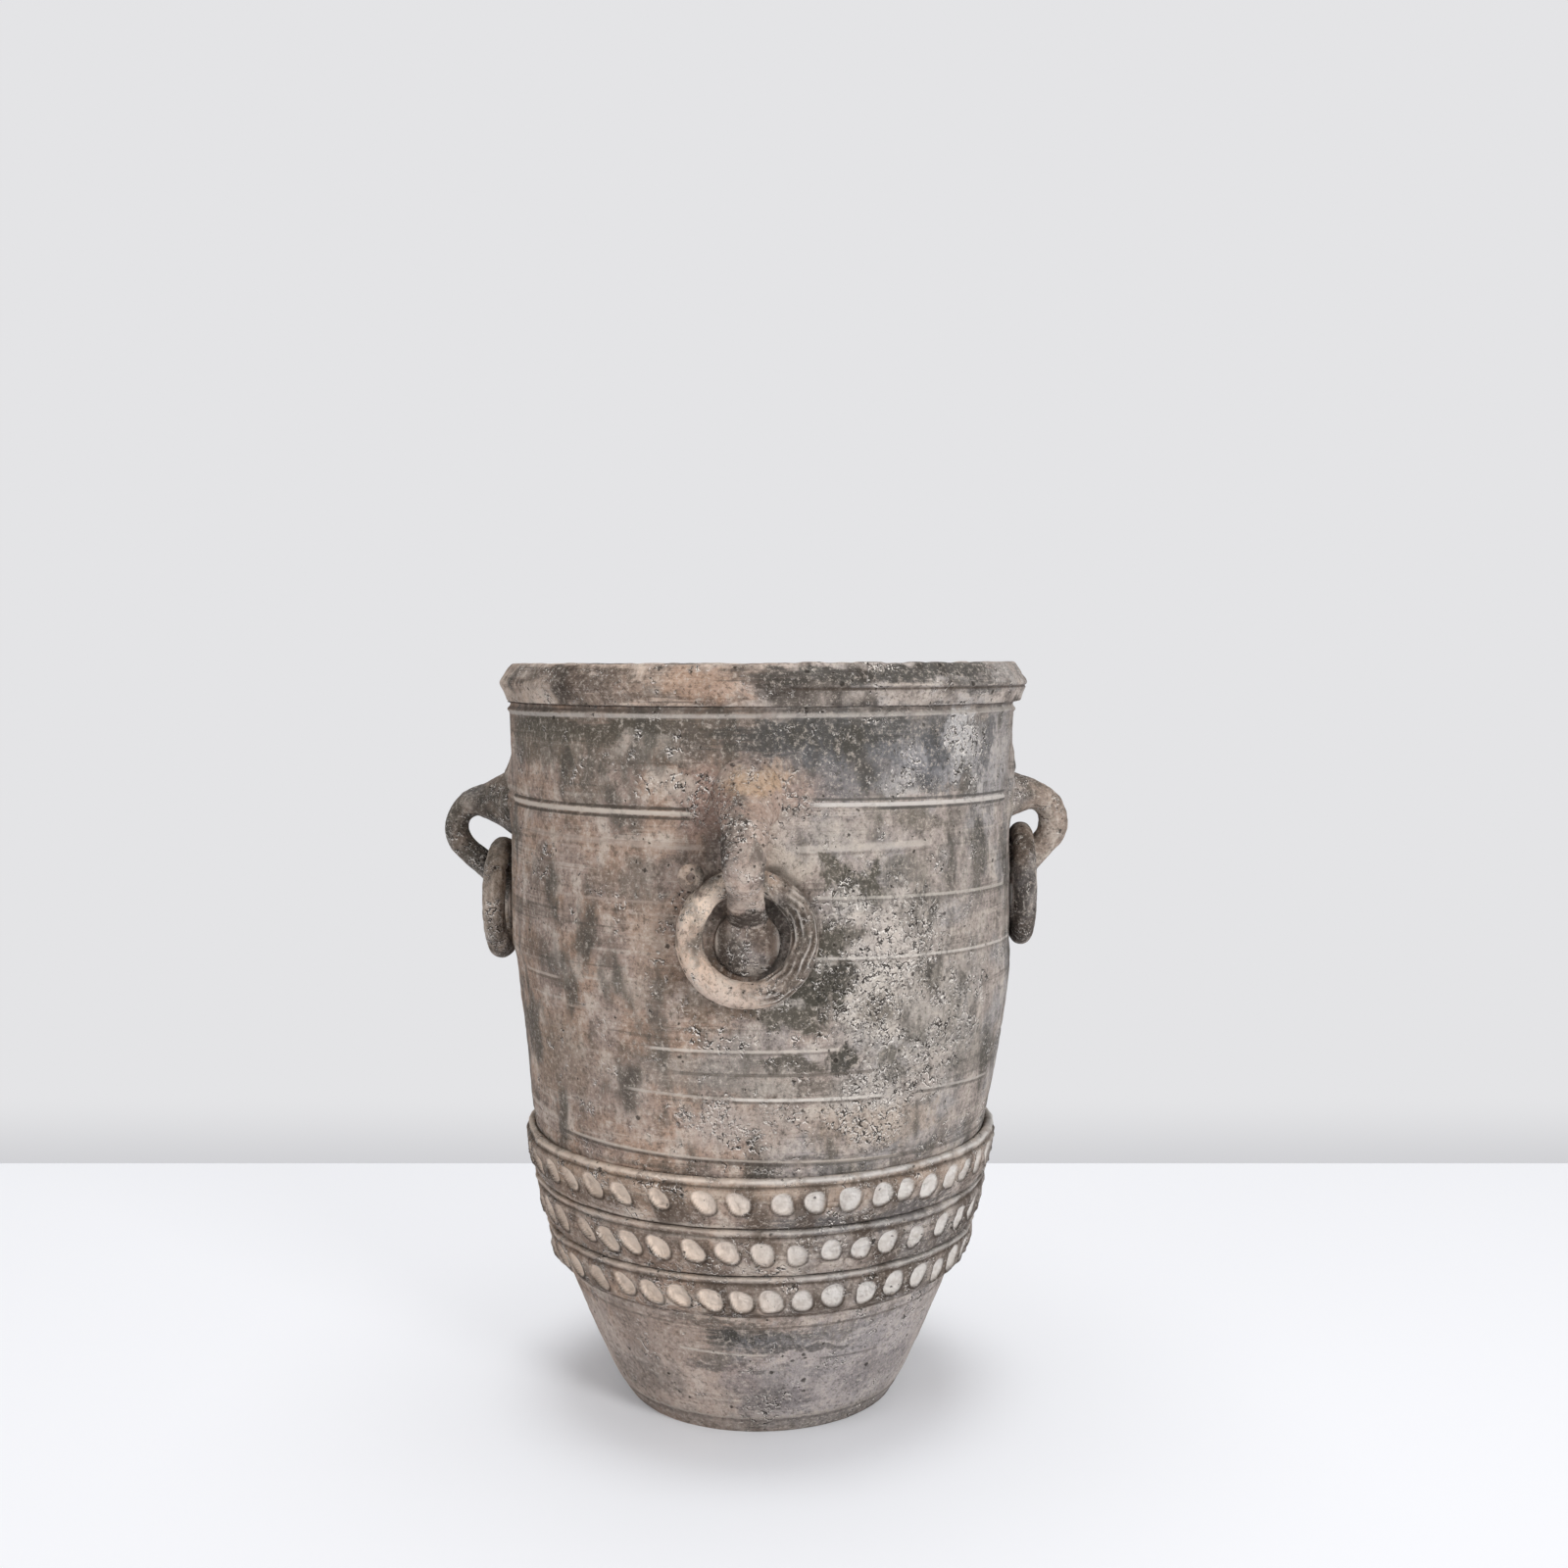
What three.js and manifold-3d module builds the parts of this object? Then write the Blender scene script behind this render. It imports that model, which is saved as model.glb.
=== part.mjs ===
// A large clay pot with a bevelled rim, three thumb-pressed bands and four strap handles,
// each holding a loose ring. Millimetres, +Z up, origin at the centre of the base.
// The front handle is on -Y, the right one on +X, the back one on +Y and the left one on -X.

import * as THREE from 'three';
import { mergeVertices } from 'three/addons/utils/BufferGeometryUtils.js';
import Module from 'manifold-3d';

const wasm = await Module();
wasm.setup();

// How finely round things are faceted
const ROUND_FACES = 48;
const STRAP_FACES = 10;
const STRAP_RUN_STEPS = 4;
const STRAP_BEND_STEPS = 8;
const RING_FACES = 24;
const RING_TUBE_FACES = 8;
const PRESS_FACES = 8;
const TONGUE_FACES = 10;
const HOLLOW_STEPS = 5;
// Flat neighbours are merged where that moves the surface less than this
const FLATNESS = 0.01;

// Gap left where one piece of clay is luted to another
const LUTE_GAP = 0.3;

// The thrown wall, which swells from its foot to its rim. A smooth curve joins the stations of its
// outline: each is a share of the way up the wall and of the way out from the foot to the rim.
const WALL_HEIGHT = 494;
const FOOT_RADIUS = 96;
const RIM_RADIUS = 178;
const WALL_STATIONS = [
  { up: 0, out: 0 },
  { up: 0.035, out: 0.138 },
  { up: 0.149, out: 0.433 },
  { up: 0.198, out: 0.537 },
  { up: 0.254, out: 0.622 },
  { up: 0.327, out: 0.722 },
  { up: 0.415, out: 0.822 },
  { up: 0.53, out: 0.907 },
  { up: 0.648, out: 0.983 },
  { up: 0.789, out: 0.99 },
  { up: 0.879, out: 0.98 },
  { up: 0.972, out: 0.995 },
  { up: 1, out: 1 },
];
const WALL_THICKNESS = 13;
const FLOOR_THICKNESS = 18;
const FLOOR_CORNER = 14;

// Lines turned into the wall
const GROOVE_HALF_WIDTH = 1.7;
const GROOVE_DEPTH = 1.4;
const FOOT_LINE_HEIGHT = 10.5;
const DOUBLE_LINE_DROP = 62.5;
const DOUBLE_LINE_SPACING = 5.2;
const NECK_BEAD_BELOW_COLLAR = 6.5;
const NECK_BEAD_HALF_WIDTH = 2.2;
const NECK_BEAD_RISE = 1.3;

// The bevelled collar that makes the mouth, with overhangs measured from the top of the wall
const COLLAR_HEIGHT = 26.5;
const COLLAR_UNDER_OVERHANG = 4.4;
const COLLAR_LIP_OVERHANG = 5.4;
const COLLAR_LIP_RISE = 3.2;
const COLLAR_OVERHANG = 9.2;
const COLLAR_GIRTH_LOW = 11;
const COLLAR_GIRTH_HIGH = 15.5;
const COLLAR_TOP_OVERHANG = 1.2;
const MOUTH_ROUNDING = 4;

// The pressed bands: how tall each is, and how thick on its pressed face, at its lip, where it meets
// the next band and where it thins out to the wall
const BANDS_START = 96.5;
const LOWER_BAND_HEIGHT = 31.7;
const MIDDLE_BAND_HEIGHT = 33.4;
const UPPER_BAND_HEIGHT = 34.9;
const LOWER_BAND_CROWN = 7.2;
const MIDDLE_BAND_CROWN = 7.7;
const UPPER_BAND_CROWN = 8;
const BAND_LIP = 6.2;
const UPPER_BAND_LIP = 4.8;
const BAND_MEETING = 5.2;
const BAND_FOOT = 1.6;
const BAND_TOP = 1.8;
// From the lowest up; the turn is where the first thumb press comes, in degrees
const BANDS = [
  {
    name: 'band_lower',
    tall: LOWER_BAND_HEIGHT,
    foot: BAND_FOOT,
    crown: LOWER_BAND_CROWN,
    lip: BAND_LIP,
    top: BAND_MEETING,
    turn: 5,
  },
  {
    name: 'band_middle',
    tall: MIDDLE_BAND_HEIGHT,
    foot: BAND_MEETING,
    crown: MIDDLE_BAND_CROWN,
    lip: BAND_LIP,
    top: BAND_MEETING,
    turn: 7,
  },
  {
    name: 'band_upper',
    tall: UPPER_BAND_HEIGHT,
    foot: BAND_MEETING,
    crown: UPPER_BAND_CROWN,
    lip: UPPER_BAND_LIP,
    top: BAND_TOP,
    turn: 6.7,
  },
];
const BAND_LIP_DROP = 3;
const COVE_ABOVE_BANDS = 8.5;
const PRESS_PITCH = 21.5;
const PRESS_WIDTH = 16;
const PRESS_HEIGHT = 15;
const PRESS_DEPTH = 3.2;
const PRESS_RISE = 1.8;
const PRESS_FACE_MARGIN = 0.8;

// The strap handles: how far the middle of the loop is below the top of the wall, how far the
// loop reaches out from the wall, and how tall its upper root is
const HANDLE_DROP = 92;
const HANDLE_REACH = 48;
const HANDLE_ROOT_HEIGHT = 52;
const LEFT_HANDLE_REACH = 50;
const RIGHT_HANDLE_DROP = 86;
const RIGHT_HANDLE_REACH = 40;
const RIGHT_HANDLE_ROOT_HEIGHT = 36;
const HANDLE = { height: WALL_HEIGHT - HANDLE_DROP, reach: HANDLE_REACH, rootHeight: HANDLE_ROOT_HEIGHT };
const RIGHT_HANDLE = {
  height: WALL_HEIGHT - RIGHT_HANDLE_DROP,
  reach: RIGHT_HANDLE_REACH,
  rootHeight: RIGHT_HANDLE_ROOT_HEIGHT,
};
const HANDLES = [
  { side: 'front', azimuth: -90, ...HANDLE },
  { side: 'right', azimuth: 0, ...RIGHT_HANDLE },
  { side: 'back', azimuth: 90, ...HANDLE },
  { side: 'left', azimuth: 180, ...HANDLE, reach: LEFT_HANDLE_REACH },
];
const STRAP_WIDTH = 23;
const STRAP_THICKNESS = 16;
const LOOP_RADIUS = 19.5;
const LOWER_ROOT_DROP = 44;
const LOWER_ROOT_FLARE = 3;
const ROOT_BURIAL = 2.5;
const ROOT_WIDTH_RATIO = 1.25;
const FLARE_POWER = 2.5;
const TONGUE_WIDTH = 33;
const TONGUE_THICKNESS = 4.5;
const TONGUE_OVERLAP = 12;

// The loose rings
const RING_DIAMETER = 87;
const RING_TUBE = 16;
const RING_WALL_GAP = 1;
const RING_STRAP_GAP = 0.4;
const RING_TONGUE_GAP = 2;
const SEAT_STEP = 0.05;

// Clay colours
const BODY_CLAY = 0x958a82;
const COLLAR_CLAY = 0x8c8178;
const BAND_CLAY = 0xa39689;
const HANDLE_CLAY = { front: 0xa38d7b, right: 0xa08a76, back: 0x8f8379, left: 0x6f665c };
const RING_CLAY = { front: 0x9d8f82, right: 0x8d7c6c, back: 0x8a8076, left: 0x5e544b };
const CLAY_ROUGHNESS = 0.93;

// Working with solids

function toSolid(geometry) {
  const bare = geometry.clone();
  bare.deleteAttribute('normal');
  bare.deleteAttribute('uv');
  const merged = mergeVertices(bare, 1e-4);
  const vertProperties = new Float32Array(merged.attributes.position.array);
  const triVerts = new Uint32Array(merged.index.array);
  return new wasm.Manifold(new wasm.Mesh({ numProp: 3, vertProperties, triVerts }));
}

function toGeometry(solid) {
  const mesh = solid.asOriginal().simplify(FLATNESS).getMesh();
  const geometry = new THREE.BufferGeometry();
  geometry.setAttribute('position', new THREE.BufferAttribute(new Float32Array(mesh.vertProperties), 3));
  geometry.setIndex(new THREE.BufferAttribute(new Uint32Array(mesh.triVerts), 1));
  geometry.computeVertexNormals();
  return geometry;
}

// Turns an outline of (radius, height) points about the upright axis.
function turned(outline, faces = ROUND_FACES) {
  const points = outline.map(([radius, height]) => new THREE.Vector2(radius, height));
  return new THREE.LatheGeometry(points, faces).rotateX(Math.PI / 2);
}

// Skins a row of equal loops of points and closes both ends.
function loft(sections) {
  const around = sections[0].length;
  const index = [];
  for (let i = 0; i + 1 < sections.length; i += 1) {
    for (let j = 0; j < around; j += 1) {
      const here = i * around + j;
      const next = i * around + ((j + 1) % around);
      index.push(here, next, next + around, here, next + around, here + around);
    }
  }
  const last = (sections.length - 1) * around;
  for (let j = 1; j + 1 < around; j += 1) {
    index.push(0, j + 1, j, last, last + j, last + j + 1);
  }
  const geometry = new THREE.BufferGeometry();
  geometry.setAttribute(
    'position',
    new THREE.Float32BufferAttribute(sections.flat().flatMap((point) => point.toArray()), 3),
  );
  geometry.setIndex(index);
  return geometry;
}

// The thrown body

const wallCurve = new THREE.SplineCurve(
  WALL_STATIONS.map(({ up, out }) => (
    new THREE.Vector2(THREE.MathUtils.lerp(FOOT_RADIUS, RIM_RADIUS, out), WALL_HEIGHT * up)
  )),
);

// Outside radius of the wall at a height, found by halving along the curve.
function wallRadius(height) {
  let low = 0;
  let high = 1;
  while (high - low > 1e-7) {
    const middle = (low + high) / 2;
    if (wallCurve.getPoint(middle).y < height) low = middle;
    else high = middle;
  }
  return wallCurve.getPoint(low).x;
}

function wallPoint(height, offset = 0) {
  return [wallRadius(height) + offset, height];
}

function groove(height) {
  return [
    wallPoint(height - GROOVE_HALF_WIDTH),
    wallPoint(height, -GROOVE_DEPTH),
    wallPoint(height + GROOVE_HALF_WIDTH),
  ];
}

// A fine raised line, with the wall above it drawn in under the collar.
function neckBead() {
  const height = WALL_HEIGHT - NECK_BEAD_BELOW_COLLAR;
  return [
    wallPoint(height - NECK_BEAD_HALF_WIDTH),
    wallPoint(height, NECK_BEAD_RISE),
    wallPoint(height + NECK_BEAD_HALF_WIDTH, -NECK_BEAD_RISE),
  ];
}

function bandsTop() {
  return BANDS.reduce((sum, { tall }) => sum + tall, BANDS_START);
}

function wallOutline() {
  const doubleLine = WALL_HEIGHT - DOUBLE_LINE_DROP;
  const features = [
    groove(FOOT_LINE_HEIGHT),
    groove(bandsTop() + COVE_ABOVE_BANDS),
    groove(doubleLine - DOUBLE_LINE_SPACING / 2),
    groove(doubleLine + DOUBLE_LINE_SPACING / 2),
    neckBead(),
  ];
  const isPlain = (height) => features.every(
    (feature) => height < feature[0][1] - GROOVE_HALF_WIDTH || height > feature.at(-1)[1] + GROOVE_HALF_WIDTH,
  );
  const plain = wallCurve.points.map(({ y }) => y).filter(isPlain).map((height) => wallPoint(height));
  return [...plain, ...features.flat()].sort((a, b) => a[1] - b[1]);
}

function hollowOutline() {
  const cornerTop = FLOOR_THICKNESS + FLOOR_CORNER;
  const corner = wallRadius(cornerTop) - WALL_THICKNESS;
  const wall = [];
  for (let i = 0; i <= HOLLOW_STEPS; i += 1) {
    wall.push(wallPoint(THREE.MathUtils.lerp(WALL_HEIGHT, cornerTop, i / HOLLOW_STEPS), -WALL_THICKNESS));
  }
  return [
    ...wall,
    [corner - FLOOR_CORNER / 3, FLOOR_THICKNESS + FLOOR_CORNER / 3],
    [corner - FLOOR_CORNER, FLOOR_THICKNESS],
    [0, FLOOR_THICKNESS],
  ];
}

function potBody() {
  return turned([[0, 0], ...wallOutline(), ...hollowOutline()]);
}

// The space that the wall fills, a luting gap larger: it cuts the roots of the handles.
function wallClearance() {
  const levels = wallOutline().map(([, height]) => height);
  const wall = levels.map((height) => wallPoint(height, LUTE_GAP));
  return toSolid(turned([[0, levels[0]], ...wall, [0, levels.at(-1)]]));
}

// The collar sits on the flat top of the wall.
function rimCollar() {
  const outer = wallRadius(WALL_HEIGHT);
  const mouth = outer - WALL_THICKNESS;
  const top = WALL_HEIGHT + COLLAR_HEIGHT;
  return turned([
    [mouth, WALL_HEIGHT],
    [outer + COLLAR_UNDER_OVERHANG, WALL_HEIGHT],
    [outer + COLLAR_LIP_OVERHANG, WALL_HEIGHT + COLLAR_LIP_RISE],
    [outer + COLLAR_OVERHANG, WALL_HEIGHT + COLLAR_GIRTH_LOW],
    [outer + COLLAR_OVERHANG, WALL_HEIGHT + COLLAR_GIRTH_HIGH],
    [outer + COLLAR_TOP_OVERHANG, top],
    [mouth + MOUTH_ROUNDING, top],
    [mouth, top - MOUTH_ROUNDING],
    [mouth, WALL_HEIGHT],
  ]);
}

// The pressed bands

// The strip of clay before it is pressed: a face for the presses, and a lip along its top edge.
function bandStrip({ foot, crown, lip, top }, low, high, count) {
  const middle = (low + high) / 2 + PRESS_RISE;
  const faceHalf = PRESS_HEIGHT / 2 + PRESS_FACE_MARGIN;
  const inside = (height) => [(wallRadius(height) + LUTE_GAP) / Math.cos(Math.PI / count), height];
  return [
    inside(low),
    wallPoint(low, foot),
    wallPoint(middle - faceHalf, crown),
    wallPoint(middle + faceHalf, crown),
    wallPoint(high - BAND_LIP_DROP, lip),
    wallPoint(high, top),
    inside(high),
    inside((low + high) / 2),
    inside(low),
  ];
}

// One band, with a thumb press in the middle of each of its flat faces.
function band(shape, start) {
  const low = start + LUTE_GAP / 2;
  const high = start + shape.tall - LUTE_GAP / 2;
  const middle = (low + high) / 2 + PRESS_RISE;
  const round = 2 * Math.PI * (wallRadius(middle) + shape.crown);
  const count = Math.round(round / PRESS_PITCH);
  const halfStep = Math.PI / count;
  const outline = bandStrip(shape, low, high, count);
  const [, , faceLow, faceHigh] = outline;
  const lean = Math.atan2(faceHigh[0] - faceLow[0], faceHigh[1] - faceLow[1]);
  const faceRadius = ((faceLow[0] + faceHigh[0]) / 2) * Math.cos(halfStep);
  const press = new THREE.SphereGeometry(1, PRESS_FACES, 4)
    .rotateZ(Math.PI / 2)
    .scale(PRESS_DEPTH * 1.2, PRESS_WIDTH / 2, PRESS_HEIGHT / 2)
    .translate(PRESS_DEPTH * 0.2, 0, 0)
    .rotateY(lean)
    .translate(faceRadius, 0, middle);
  let strip = toSolid(turned(outline, count).rotateZ(halfStep - Math.PI / 2));
  for (let i = 0; i < count; i += 1) {
    strip = strip.subtract(toSolid(press.clone().rotateZ(2 * halfStep * i)));
  }
  return toGeometry(strip);
}

// The handles, each made pointing along +X and then turned to its side

// Middle line of a strap: how far from the wall and how high each section is, the way its outer
// side faces, and half its thickness and width.
function strapLine({ reach, height, rootHeight }) {
  const thick = STRAP_THICKNESS / 2;
  const wide = STRAP_WIDTH / 2;
  const centre = reach - thick - LOOP_RADIUS;
  const rootWide = (rootHeight * ROOT_WIDTH_RATIO) / 2;
  const wall = wallRadius(height);
  const burial = wall - Math.sqrt(wall ** 2 - rootWide ** 2) + ROOT_BURIAL;
  const flareEnd = centre + (LOOP_RADIUS * Math.PI) / 2;
  const line = [];
  const add = (away, level, facing, run) => {
    const swell = THREE.MathUtils.clamp(1 - run / flareEnd, 0, 1) ** FLARE_POWER;
    line.push({
      away,
      level,
      facing,
      halfThickness: thick + (rootHeight / 2 - thick) * swell,
      halfWidth: wide + (rootWide - wide) * swell,
    });
  };
  for (let i = 0; i < STRAP_RUN_STEPS; i += 1) {
    const away = THREE.MathUtils.lerp(-burial, centre, i / STRAP_RUN_STEPS);
    add(away, height + LOOP_RADIUS, 0, away);
  }
  const toCentre = Math.atan2(LOWER_ROOT_DROP, centre);
  const slope = toCentre - Math.asin(LOOP_RADIUS / Math.hypot(centre, LOWER_ROOT_DROP));
  for (let i = 0; i <= STRAP_BEND_STEPS; i += 1) {
    const turn = ((Math.PI - slope) * i) / STRAP_BEND_STEPS;
    const away = centre + LOOP_RADIUS * Math.sin(turn);
    add(away, height + LOOP_RADIUS * Math.cos(turn), turn, centre + LOOP_RADIUS * turn);
  }
  const bendEnd = line.at(-1);
  for (let i = 1; i <= STRAP_RUN_STEPS; i += 1) {
    const share = i / STRAP_RUN_STEPS;
    const away = THREE.MathUtils.lerp(bendEnd.away, -burial, share);
    const level = bendEnd.level - (bendEnd.away - away) * Math.tan(slope);
    line.push({
      away,
      level,
      facing: bendEnd.facing,
      halfThickness: thick + LOWER_ROOT_FLARE * share ** 2,
      halfWidth: wide + LOWER_ROOT_FLARE * share ** 2,
    });
  }
  return line;
}

function strap(handle) {
  const wall = wallRadius(handle.height);
  const sections = strapLine(handle).map(({ away, level, facing, halfThickness, halfWidth }) => {
    const section = [];
    for (let j = 0; j < STRAP_FACES; j += 1) {
      const round = (2 * Math.PI * (j + 0.5)) / STRAP_FACES;
      const across = halfWidth * Math.cos(round);
      const out = halfThickness * Math.sin(round);
      section.push(new THREE.Vector3(
        wall + away + out * Math.sin(facing),
        across,
        level + out * Math.cos(facing),
      ));
    }
    return section;
  });
  return toSolid(loft(sections));
}

// Where a ring lies: its tube comes to rest in the crook between the strap and the wall.
function ringSeat(handle) {
  const tube = RING_TUBE / 2;
  const away = tube + RING_WALL_GAP;
  const line = strapLine(handle);
  const isClear = (level) => line.slice(1).every((point, i) => {
    const from = line[i];
    const run = new THREE.Vector2(point.away - from.away, point.level - from.level);
    const offset = new THREE.Vector2(away - from.away, level - from.level);
    const share = THREE.MathUtils.clamp(offset.dot(run) / run.lengthSq(), 0, 1);
    const thick = THREE.MathUtils.lerp(from.halfThickness, point.halfThickness, share);
    return offset.sub(run.multiplyScalar(share)).length() >= thick + tube + RING_STRAP_GAP;
  });
  const lowest = handle.height - LOWER_ROOT_DROP;
  let level = handle.height + LOOP_RADIUS;
  while (level > lowest && !isClear(level)) level -= SEAT_STEP;
  while (level > lowest && isClear(level - SEAT_STEP)) level -= SEAT_STEP;
  return { away, level };
}

function ringRadius() {
  return (RING_DIAMETER - RING_TUBE) / 2;
}

// The thinned end of the strap, smeared down the wall inside the ring.
function tongue(handle) {
  const hole = ringRadius() - RING_TUBE / 2;
  const low = ringSeat(handle).level - ringRadius() - hole + RING_TONGUE_GAP;
  const high = handle.height - LOWER_ROOT_DROP + TONGUE_OVERLAP;
  const middle = (low + high) / 2;
  const smear = new THREE.SphereGeometry(1, TONGUE_FACES, TONGUE_FACES / 2)
    .rotateX(Math.PI / 2)
    .scale(TONGUE_THICKNESS, TONGUE_WIDTH / 2, (high - low) / 2)
    .translate(wallRadius(middle), 0, middle);
  return toSolid(smear);
}

function handleShape(handle) {
  return toGeometry(strap(handle).add(tongue(handle)).subtract(wallClearance()));
}

function looseRing() {
  return new THREE.TorusGeometry(ringRadius(), RING_TUBE / 2, RING_TUBE_FACES, RING_FACES)
    .rotateY(Math.PI / 2);
}

// Putting the pot together

function piece(name, geometry, colour) {
  const material = new THREE.MeshStandardMaterial({
    color: colour,
    roughness: CLAY_ROUGHNESS,
    metalness: 0,
  });
  const mesh = new THREE.Mesh(geometry, material);
  mesh.name = name;
  return mesh;
}

const vase = new THREE.Group();
vase.add(piece('pot_body', potBody(), BODY_CLAY));
vase.add(piece('rim_collar', rimCollar(), COLLAR_CLAY));

let bandStart = BANDS_START;
for (const shape of BANDS) {
  const pressed = piece(shape.name, band(shape, bandStart), BAND_CLAY);
  pressed.rotation.z = THREE.MathUtils.degToRad(shape.turn);
  vase.add(pressed);
  bandStart += shape.tall;
}

for (const handle of HANDLES) {
  const side = new THREE.Group();
  side.rotation.z = THREE.MathUtils.degToRad(handle.azimuth);
  side.add(piece(`handle_${handle.side}`, handleShape(handle), HANDLE_CLAY[handle.side]));
  const ring = piece(`ring_${handle.side}`, looseRing(), RING_CLAY[handle.side]);
  const seat = ringSeat(handle);
  ring.position.set(wallRadius(handle.height) + seat.away, 0, seat.level - ringRadius());
  side.add(ring);
  vase.add(side);
}

export default vase;
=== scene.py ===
"""Looks of the clay vase: a weathered jar with thumb-pressed bands, strap handles and loose rings.

Sizes are in millimetres. An azimuth is in degrees round the pot from its front handle, positive
towards the right handle.
"""

from __future__ import annotations

import logging
import math
from collections.abc import Callable
from dataclasses import dataclass, field, replace
from enum import Enum

import bpy
import numpy as np
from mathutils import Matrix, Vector

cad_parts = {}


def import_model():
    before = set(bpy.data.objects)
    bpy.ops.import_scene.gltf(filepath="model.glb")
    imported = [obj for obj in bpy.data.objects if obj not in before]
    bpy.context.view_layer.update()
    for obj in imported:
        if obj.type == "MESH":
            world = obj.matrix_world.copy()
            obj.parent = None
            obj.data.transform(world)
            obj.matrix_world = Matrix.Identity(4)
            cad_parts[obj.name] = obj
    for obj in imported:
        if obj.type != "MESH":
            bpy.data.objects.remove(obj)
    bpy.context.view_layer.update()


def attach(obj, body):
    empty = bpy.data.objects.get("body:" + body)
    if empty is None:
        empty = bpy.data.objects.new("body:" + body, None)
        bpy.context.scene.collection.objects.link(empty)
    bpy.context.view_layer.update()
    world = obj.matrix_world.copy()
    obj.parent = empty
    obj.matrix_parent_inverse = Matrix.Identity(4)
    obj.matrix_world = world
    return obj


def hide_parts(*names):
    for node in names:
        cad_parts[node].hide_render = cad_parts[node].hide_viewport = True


LOG = logging.getLogger("clay_vase")
MM = 0.001
Point = tuple[float, float]
Place = tuple[float, float, float]
Colour = tuple[int, int, int]
Array = np.ndarray
Piece = bpy.types.Object
Tree = bpy.types.NodeTree
ORIGIN: Place = (0.0, 0.0, 0.0)

# The thrown wall: height above the base and outside radius
WALL_STATIONS = (
    (0, 96), (17.5, 107.3), (73.5, 131.5), (98, 140), (125.5, 147), (161.5, 155.2), (205, 163.4),
    (262, 170.4), (320, 176.6), (390, 177.2), (434, 176.4), (480, 177.6), (494, 178),
)
WALL_TOP = 494.0
WALL_THICKNESS = 13.0
FLOOR_TOP = 18.0
# Where the two pieces of the outer wall meet
SPLIT_HEIGHT = 205.3

STRAP_WIDTH = 23.0
STRAP_THICKNESS = 16.0
LOOP_RADIUS = 19.5
# How far a strap's lower root is below its loop's middle
LOWER_ROOT_DROP = 44.0
# How wide a strap's upper root is for its height
ROOT_WIDTH_RATIO = 1.25
# A ring's middle line, and the thickness of its coil
RING_RADIUS = 35.5
RING_TUBE = 16.0


class Side(Enum):
    """The four handles, each with its ring.

    Their values are the azimuth, the reach from the wall, the height of the loop and of the root, the
    ring's distance from the axis and its level, and how far the smeared root stands off the wall.
    """

    FRONT = (0, 48, 402, 52, 186.07, 352.8, 4.6)
    RIGHT = (90, 40, 408, 36, 185.92, 364.0, 3.6)
    BACK = (180, 48, 402, 52, 186.07, 352.8, 4.4)
    LEFT = (-90, 50, 402, 52, 186.07, 351.9, 4.6)

    def __init__(self, azimuth: float, reach: float, height: float, root: float, ring_away: float,
                 ring_level: float, lump: float) -> None:
        self.azimuth = azimuth
        self.reach = reach
        self.height = height
        self.root = root
        self.ring_away = ring_away
        self.ring_level = ring_level
        self.lump = lump
        self.word = self.name.lower()


def smooth_profile(stations: tuple[Point, ...], steps: int = 12) -> tuple[Array, Array]:
    """Joins stations by a Catmull-Rom curve.

    Args:
        stations: pairs of height and radius, from the lowest up.
        steps: points on each span.

    Returns:
        The heights and the radii along the curve.
    """
    points = np.array(stations, float)
    padded = np.vstack([2 * points[0] - points[1], points, 2 * points[-1] - points[-2]])
    share = np.linspace(0, 1, steps, endpoint=False)[:, None]
    spans = [
        0.5 * (2 * b + (c - a) * share + (2 * a - 5 * b + 4 * c - d) * share**2
               + (3 * b - a - 3 * c + d) * share**3)
        for a, b, c, d in zip(padded, padded[1:], padded[2:], padded[3:])
    ]
    curve = np.vstack([*spans, points[-1:]])
    return curve[:, 0], curve[:, 1]


PROFILE_HEIGHTS, PROFILE_RADII = smooth_profile(WALL_STATIONS)


def wall_radii(heights: Array) -> Array:
    """Outside radius of the plain wall at each height."""
    return np.interp(heights, PROFILE_HEIGHTS, PROFILE_RADII)


def wall_radius(height: float) -> float:
    """Outside radius of the plain wall at one height."""
    return float(wall_radii(height))


def smoothstep(low: float, high: float, value: Array) -> Array:
    """Goes smoothly from 0 at low to 1 at high."""
    share = np.clip((value - low) / (high - low), 0, 1)
    return share * share * (3 - 2 * share)


def bell(value: Array, half_width: float) -> Array:
    """A smooth bump of height 1 about zero."""
    return np.exp(-((value / half_width) ** 2))


def turn_gap(azimuth: Array, other: float) -> Array:
    """Signed difference of two azimuths, between -180 and 180."""
    return (azimuth - other + 180) % 360 - 180


@dataclass
class Ripple:
    """Smooth seeded unevenness that closes up round the pot.

    Args:
        seed: of the random waves.
        waves: how many are added up.
        around: the most waves that one has round the pot.
        upright: how steeply they climb, in radians to a millimetre.
    """

    seed: int
    waves: int = 14
    around: float = 7.0
    upright: float = 0.05

    def at(self, azimuth: Array, height: Array) -> Array:
        """The unevenness, about -1 to 1, at azimuths and heights."""
        random = np.random.default_rng(self.seed)
        total = np.zeros_like(azimuth)
        for _ in range(self.waves):
            turns = round(random.uniform(-self.around, self.around))
            climb = random.normal(0, self.upright)
            total += np.sin(np.radians(turns * azimuth) + climb * height + random.uniform(0, 6.3))
        return total / math.sqrt(self.waves)


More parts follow.
